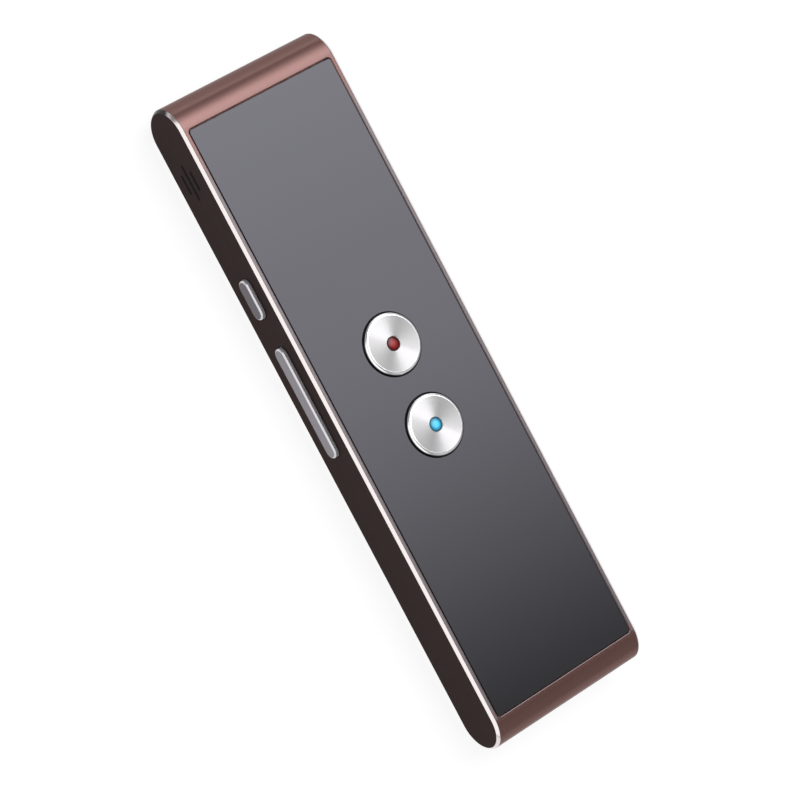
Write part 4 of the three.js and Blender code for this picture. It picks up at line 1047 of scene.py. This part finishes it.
class TRANSLATOR_OT_screws(Operator):
    """Make every screw with its cross recess and thread"""

    bl_idname = "translator.screws"
    bl_label = "Screws"

    def execute(self, context):
        sizes = context.scene.translator_screws
        tree = self.screw_tree()
        for kind in ("frame", "bracket", "board", "end"):
            names = sorted(name for name in nodes if name.startswith(kind + "_screw_"))
            boxes = [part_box(name) for name in names]
            mesh = bpy.data.meshes.new(kind + "_screws")
            heads = [((low.x + high.x) / 2, (low.y + high.y) / 2, high.z) for low, high in boxes]
            mesh.from_pydata(heads, [], [])
            low, high = boxes[0]
            values = {
                "Length": high.z - low.z - sizes.head_height,
                "Shank": sizes.shank,
                "Head": sizes.head,
                "Head height": sizes.head_height,
                "Pitch": sizes.thread,
                "Finish": plain_finish("steel_cold_rolled"),
            }
            piece = baked(remade(kind + "_screws", mesh), tree, values)
            finish_piece(piece, "body", "steel", *names)
        return {"FINISHED"}

    @staticmethod
    def screw_tree():
        """A screw on each point of the host, with the top of its head at the point.

        It is a turned head with a cross recess, a shank and a thread of thin discs. The shank's core has 0.8
        of its radius, and reaches a quarter of the head's height into the head.
        """
        sizes = {name: "Float" for name in ("Length", "Shank", "Head", "Head height", "Pitch")}
        # the host's own geometry comes in at the first input
        inputs = {"Geometry": "Geometry", **sizes, "Finish": "Material"}
        tree, given = fresh_tree("cross_recess_screws", inputs)
        reach, shank, head, head_height, pitch = (given[name] for name in sizes)
        core = add(tree, "ShaderNodeMath", (shank, 0.8), operation="MULTIPLY")
        overlap = add(tree, "ShaderNodeMath", (head_height, 0.25), operation="MULTIPLY")
        under_head = add(tree, "ShaderNodeMath", (head_height, -1.0), operation="MULTIPLY")
        shank_top = add(tree, "ShaderNodeMath", (under_head, overlap), operation="ADD")
        shank_length = add(tree, "ShaderNodeMath", (reach, overlap), operation="ADD")
        turned = []
        for radius, depth, top, sides in ((head, head_height, 0.0, 24), (core, shank_length, shank_top, 12)):
            drum = {"Vertices": sides, "Side Segments": 1, "Radius": radius, "Depth": depth}
            body = add(tree, "GeometryNodeMeshCylinder", drum)
            half_down = add(tree, "ShaderNodeMath", (depth, -0.5, top), operation="MULTIPLY_ADD")
            shift = add(tree, "ShaderNodeCombineXYZ", {"Z": half_down})
            turned.append(add(tree, "GeometryNodeTransform", {"Geometry": body, "Translation": shift}))
        # the thread: thin discs a pitch apart along the shank
        run = add(tree, "ShaderNodeMath", (reach, pitch), operation="SUBTRACT")
        pitches = add(tree, "ShaderNodeMath", (run, pitch), operation="DIVIDE")
        count = add(tree, "ShaderNodeMath", (pitches,), operation="FLOOR")
        first_z = add(tree, "ShaderNodeMath", (under_head, pitch), operation="SUBTRACT")
        first = add(tree, "ShaderNodeCombineXYZ", {"Z": first_z})
        down = add(tree, "ShaderNodeMath", (pitch, -1.0), operation="MULTIPLY")
        step = add(tree, "ShaderNodeCombineXYZ", {"Z": down})
        row = {"Count": count, "Start Location": first, "Offset": step}
        turns = add(tree, "GeometryNodeMeshLine", row, mode="OFFSET")
        thickness = add(tree, "ShaderNodeMath", (pitch, 0.6), operation="MULTIPLY")
        disc = {"Vertices": 12, "Radius Top": shank, "Radius Bottom": core, "Depth": thickness}
        flank = add(tree, "GeometryNodeMeshCone", disc)
        thread = add(tree, "GeometryNodeInstanceOnPoints", {"Points": turns, "Instance": flank})
        thread = add(tree, "GeometryNodeRealizeInstances", (thread,))
        # the recess: two crossed bars, sized by the head
        long = add(tree, "ShaderNodeMath", (head, 1.1), operation="MULTIPLY")
        narrow = add(tree, "ShaderNodeMath", (head, 0.26), operation="MULTIPLY")
        deep = add(tree, "ShaderNodeMath", (head_height, 1.2), operation="MULTIPLY")
        bars = []
        for x, y in ((long, narrow), (narrow, long)):
            size = add(tree, "ShaderNodeCombineXYZ", (x, y, deep))
            bars.append(add(tree, "GeometryNodeMeshCube", {"Size": size}))
        cut = {"Mesh 1": turned[0], "Mesh 2": bars}
        recessed = add(tree, "GeometryNodeMeshBoolean", cut, operation="DIFFERENCE")
        screw = add(tree, "GeometryNodeJoinGeometry", ([recessed, turned[1], thread],))
        points = add(tree, "GeometryNodeMeshToPoints", {"Mesh": given["Geometry"]})
        placed = add(tree, "GeometryNodeInstanceOnPoints", {"Points": points, "Instance": screw})
        end_tree(tree, placed, given["Finish"])
        return tree


class TRANSLATOR_OT_socket(Operator):
    """Smooth the charging socket and row up its contacts"""

    bl_idname = "translator.socket"
    bl_label = "Charging socket"

    def execute(self, context):
        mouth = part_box("socket_shell")[1].x - 0.02 * MM
        shape = merged_copy("socket_shell")
        weigh_sharp(shape, degrees=60, chosen=lambda place: place.x > mouth)
        smooth_shaded(shape, sharp_degrees=35)
        shell = from_bmesh("socket_sleeve", shape, [plain_finish("steel_cold_rolled")])
        rounded(shell, 0.06 * MM)
        finish_piece(shell, "body", "steel", "socket_shell")
        assign("socket_core", moulded_plastic("lcp_moulded_black", "161618", roughness=0.4))
        self.contacts()
        return {"FINISHED"}

    def contacts(self):
        """Gold contacts on both faces of the socket's tongue, 0.5 mm apart."""
        low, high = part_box("socket_core")
        centre = (low + high) / 2
        count = 10
        pitch = 0.5 * MM
        tongue_half = 0.35 * MM
        from_mouth = 1.4 * MM
        host = remade("socket_contacts", bpy.data.meshes.new("socket_contacts"))
        values = {
            "Start": Vector((high.x - from_mouth, centre.y - pitch * (count - 1) / 2, centre.z)),
            "Step": Vector((0, pitch, 0)),
            "Size": Vector((2.2 * MM, 0.24 * MM, 0.06 * MM)),
            "Lift": Vector((0, 0, tongue_half)),
            "Count": count,
            "Finish": plain_finish("copper_gold_plated"),
        }
        piece = baked(host, self.contact_tree(), values)
        finish_piece(piece, "body", "steel")

    @staticmethod
    def contact_tree():
        """Two rows of bars, one a lift above their start and one a lift below it."""
        vectors = {name: "Vector" for name in ("Start", "Step", "Size", "Lift")}
        tree, given = fresh_tree("socket_contacts", {**vectors, "Count": "Int", "Finish": "Material"})
        bar = add(tree, "GeometryNodeMeshCube", {"Size": given["Size"]})
        rows = []
        for side in ("ADD", "SUBTRACT"):
            start = add(tree, "ShaderNodeVectorMath", (given["Start"], given["Lift"]), operation=side)
            row = {"Count": given["Count"], "Start Location": start, "Offset": given["Step"]}
            points = add(tree, "GeometryNodeMeshLine", row, mode="OFFSET")
            rows.append(add(tree, "GeometryNodeInstanceOnPoints", {"Points": points, "Instance": bar}))
        end_tree(tree, add(tree, "GeometryNodeJoinGeometry", (rows,)), given["Finish"])
        return tree


class TRANSLATOR_OT_insides(Operator):
    """Dress the frame, the boards, the battery and the microphone"""

    bl_idname = "translator.insides"
    bl_label = "Insides"

    def execute(self, context):
        assign("middle_frame", moulded_plastic("pc_abs_moulded_black", "1d1d20", roughness=0.55))
        steel = plain_finish("steel_cold_rolled")
        epoxy = plain_finish("epoxy_moulding_compound")
        board = circuit_board()
        white = moulded_plastic("nylon_moulded_white", "e9e6dc", roughness=0.4)
        dressed = {
            "main_board": board,
            "microphone_board": board,
            "battery_protection_board": board,
            "microphone_ribbon": flexible_circuit(),
            "shield_can": steel,
            "processor_chip": epoxy,
            "audio_amplifier": epoxy,
            "timing_crystal": steel,
            "antenna_chip": white,
            "battery_cell": plain_finish("aluminium_laminate_drawn"),
            "battery_tape": plain_finish("acrylic_tape_coated"),
            "battery_plug": white,
            "battery_lead_red": wire_cover("pvc_extruded_red", "b1281f"),
            "battery_lead_black": wire_cover("pvc_extruded_black", "1b1b1d"),
            "microphone_boot": plain_finish("silicone_rubber_moulded"),
            "microphone_capsule": steel,
            "red_switch_body": steel,
            "blue_switch_body": steel,
            "red_led": lamp_epoxy("led_epoxy_red", "d84038"),
            "blue_led": lamp_epoxy("led_epoxy_blue", "4fb6f2"),
        }
        for node, material in dressed.items():
            assign(node, material)
        return {"FINISHED"}


class TRANSLATOR_OT_stage(Operator):
    """Set the pale floor, the soft studio light and the camera"""

    bl_idname = "translator.stage"
    bl_label = "Stage"

    white = (1.0, 1.0, 1.0, 1.0)

    def execute(self, context):
        sizes = context.scene.translator_stage
        self.floor(tuple(sizes.floor))
        self.light(context.scene, sizes)
        self.camera(context.scene)
        context.scene.view_settings.view_transform = "Standard"
        return {"FINISHED"}

    def floor(self, shade):
        shape = bmesh.new()
        bmesh.ops.create_circle(shape, cap_ends=True, radius=3.0, segments=96)
        # a hair under the body, so that the floor and the back don't share a plane
        bmesh.ops.translate(shape, verts=shape.verts, vec=(0, 0, -0.02 * MM))
        material, tree = fresh_material("studio_floor_painted")
        painted = add(tree, "ShaderNodeBsdfDiffuse", {"Color": shade})
        # to the eye, in metal and through glass it is mostly a white backdrop, and the rest keeps the shadow
        glowing = add(tree, "ShaderNodeEmission", {"Color": self.white, "Strength": 1.0})
        chalky = add(tree, "ShaderNodeBsdfDiffuse", {"Color": self.white})
        backdrop = add(tree, "ShaderNodeMixShader", (0.85, chalky, glowing))
        path = add(tree, "ShaderNodeLightPath").node.outputs
        seen = path["Is Camera Ray"]
        for ray in ("Is Glossy Ray", "Is Transmission Ray"):
            seen = add(tree, "ShaderNodeMath", (seen, path[ray]), operation="MAXIMUM")
        shown = add(tree, "ShaderNodeMixShader", (seen, painted, backdrop))
        add(tree, "ShaderNodeOutputMaterial", {"Surface": shown})
        from_bmesh("studio_floor", shape, [material])

    def light(self, scene, sizes):
        """Lights the object by direction: x, y and z point from it towards each place in the studio."""
        world = scene.world or bpy.data.worlds.new("studio")
        scene.world = world
        world.use_nodes = True
        tree = world.node_tree
        tree.nodes.clear()
        towards = add(tree, "ShaderNodeTexCoord", output="Generated")
        x, y, z = add(tree, "ShaderNodeSeparateXYZ", (towards,)).node.outputs
        # the room: pale walls on the -X side, a bright low wall at the speaker end, a dim one opposite, and a
        # dark ceiling, where only the room's own level is left
        pale_walls = faded(tree, (x, -0.23, -0.46), (y, 0.68, 0.42))
        bright_wall = faded(tree, (z, 0.232, 0.12), (x, -0.3, 0.3), (y, 0.0, 0.83, 2.7))
        dim_wall = faded(tree, (x, -0.3, 0.3), (y, -0.3, -0.72, 0.376))
        room = 0.287
        for wall in (pale_walls, bright_wall, dim_wall):
            room = add(tree, "ShaderNodeMath", (room, wall), operation="ADD")
        # low on the -X side the room is at least this bright
        low_left = faded(tree, (x, 0.3, -0.3), (z, 0.2, 0.05, 0.9))
        room = add(tree, "ShaderNodeMath", (room, low_left), operation="MAXIMUM")
        # the softbox: a long panel over the +X side, askew, that fades out towards both ends
        past_middle = add(tree, "ShaderNodeMath", (y, 0.078), operation="ADD")
        past_middle = add(tree, "ShaderNodeMath", (past_middle, 0.0), operation="MAXIMUM")
        skewed = add(tree, "ShaderNodeMath", (past_middle, 0.323, x), operation="MULTIPLY_ADD")
        panel = faded(tree, (skewed, 0.05, 0.19), (x, 0.7, 0.51), (y, 0.83, 0.36), (z, 0.3, 0.5))
        most = faded(tree, (y, -0.2, -0.044, 0.746))
        rest = add(tree, "ShaderNodeMapRange", (y, -0.044, 0.032, 0, 0.254))
        whole = add(tree, "ShaderNodeMath", (most, rest), operation="ADD")
        for share in (whole, sizes.softbox):
            panel = add(tree, "ShaderNodeMath", (panel, share), operation="MULTIPLY")
        # the foot of the walls is in shade, so a flat look along the glass doesn't wash it out
        foot = add(tree, "ShaderNodeMapRange", (z, 0.03, 0.11, 0.45, 1), interpolation_type="SMOOTHSTEP")
        level = add(tree, "ShaderNodeMath", (panel, room), operation="ADD")
        for share in (foot, sizes.fill):
            level = add(tree, "ShaderNodeMath", (level, share), operation="MULTIPLY")
        tone = mottled(tree, panel, self.white, (0.985, 0.98, 1.03, 1))
        studio = add(tree, "ShaderNodeBackground", {"Color": tone, "Strength": level})
        backdrop = add(tree, "ShaderNodeBackground", {"Color": self.white, "Strength": 1.0})
        seen = add(tree, "ShaderNodeLightPath", output="Is Camera Ray")
        shown = add(tree, "ShaderNodeMixShader", (seen, studio, backdrop))
        add(tree, "ShaderNodeOutputWorld", {"Surface": shown})

    @staticmethod
    def camera(scene):
        """Sets the camera where the fit to the photograph puts it."""
        data = bpy.data.cameras.new("photo_view")
        data.sensor_width = 36.0
        data.lens = 167.45
        data.shift_x = 0.0015
        data.shift_y = -0.0129
        data.clip_start = 0.01
        data.clip_end = 20.0
        eye = bpy.data.objects.new("photo_view", data)
        scene.collection.objects.link(eye)
        # the camera's own axes and its place, in the model's frame
        right = Vector((0.7503, -0.4648, 0.4701)).normalized()
        back = Vector((-0.4941, 0.0782, 0.8659)).normalized()
        place = Vector((-0.36504, 0.05779, 0.64575))
        up = back.cross(right).normalized()
        right = up.cross(back)
        turn = Matrix((right, up, back)).transposed().to_4x4()
        eye.matrix_world = Matrix.Translation(place) @ turn
        scene.camera = eye


class TRANSLATOR_PT_sidebar(Panel):
    """Lists the pieces of the translator"""

    bl_label = "Translator"
    bl_idname = "TRANSLATOR_PT_sidebar"
    bl_space_type = "VIEW_3D"
    bl_region_type = "UI"
    bl_category = "Translator"

    def draw(self, context):
        for operator, group in STEPS:
            box = self.layout.box()
            box.operator(operator.bl_idname)
            if group is not None:
                owner = getattr(context.scene, group)
                for key in owner.__annotations__:
                    box.prop(owner, key)


STEPS = (
    (TRANSLATOR_OT_shell, "translator_shell"),
    (TRANSLATOR_OT_glass, "translator_glass"),
    (TRANSLATOR_OT_buttons, "translator_buttons"),
    (TRANSLATOR_OT_keys, "translator_keys"),
    (TRANSLATOR_OT_speaker, "translator_speaker"),
    (TRANSLATOR_OT_screws, "translator_screws"),
    (TRANSLATOR_OT_socket, None),
    (TRANSLATOR_OT_insides, None),
    (TRANSLATOR_OT_stage, "translator_stage"),
)
GROUPS = {
    "translator_shell": TranslatorShell,
    "translator_glass": TranslatorGlass,
    "translator_buttons": TranslatorButtons,
    "translator_keys": TranslatorKeys,
    "translator_speaker": TranslatorSpeaker,
    "translator_screws": TranslatorScrews,
    "translator_stage": TranslatorStage,
}


def register():
    for group in GROUPS.values():
        bpy.utils.register_class(group)
    for name, group in GROUPS.items():
        setattr(bpy.types.Scene, name, PointerProperty(type=group))
    for operator, _ in STEPS:
        bpy.utils.register_class(operator)
    bpy.utils.register_class(TRANSLATOR_PT_sidebar)


def unregister():
    bpy.utils.unregister_class(TRANSLATOR_PT_sidebar)
    for operator, _ in STEPS:
        bpy.utils.unregister_class(operator)
    for name, group in GROUPS.items():
        delattr(bpy.types.Scene, name)
        bpy.utils.unregister_class(group)


def main():
    register()
    for operator, _ in STEPS:
        area, name = operator.bl_idname.split(".")
        getattr(getattr(bpy.ops, area), name)()


if __name__ == "__main__":
    main()
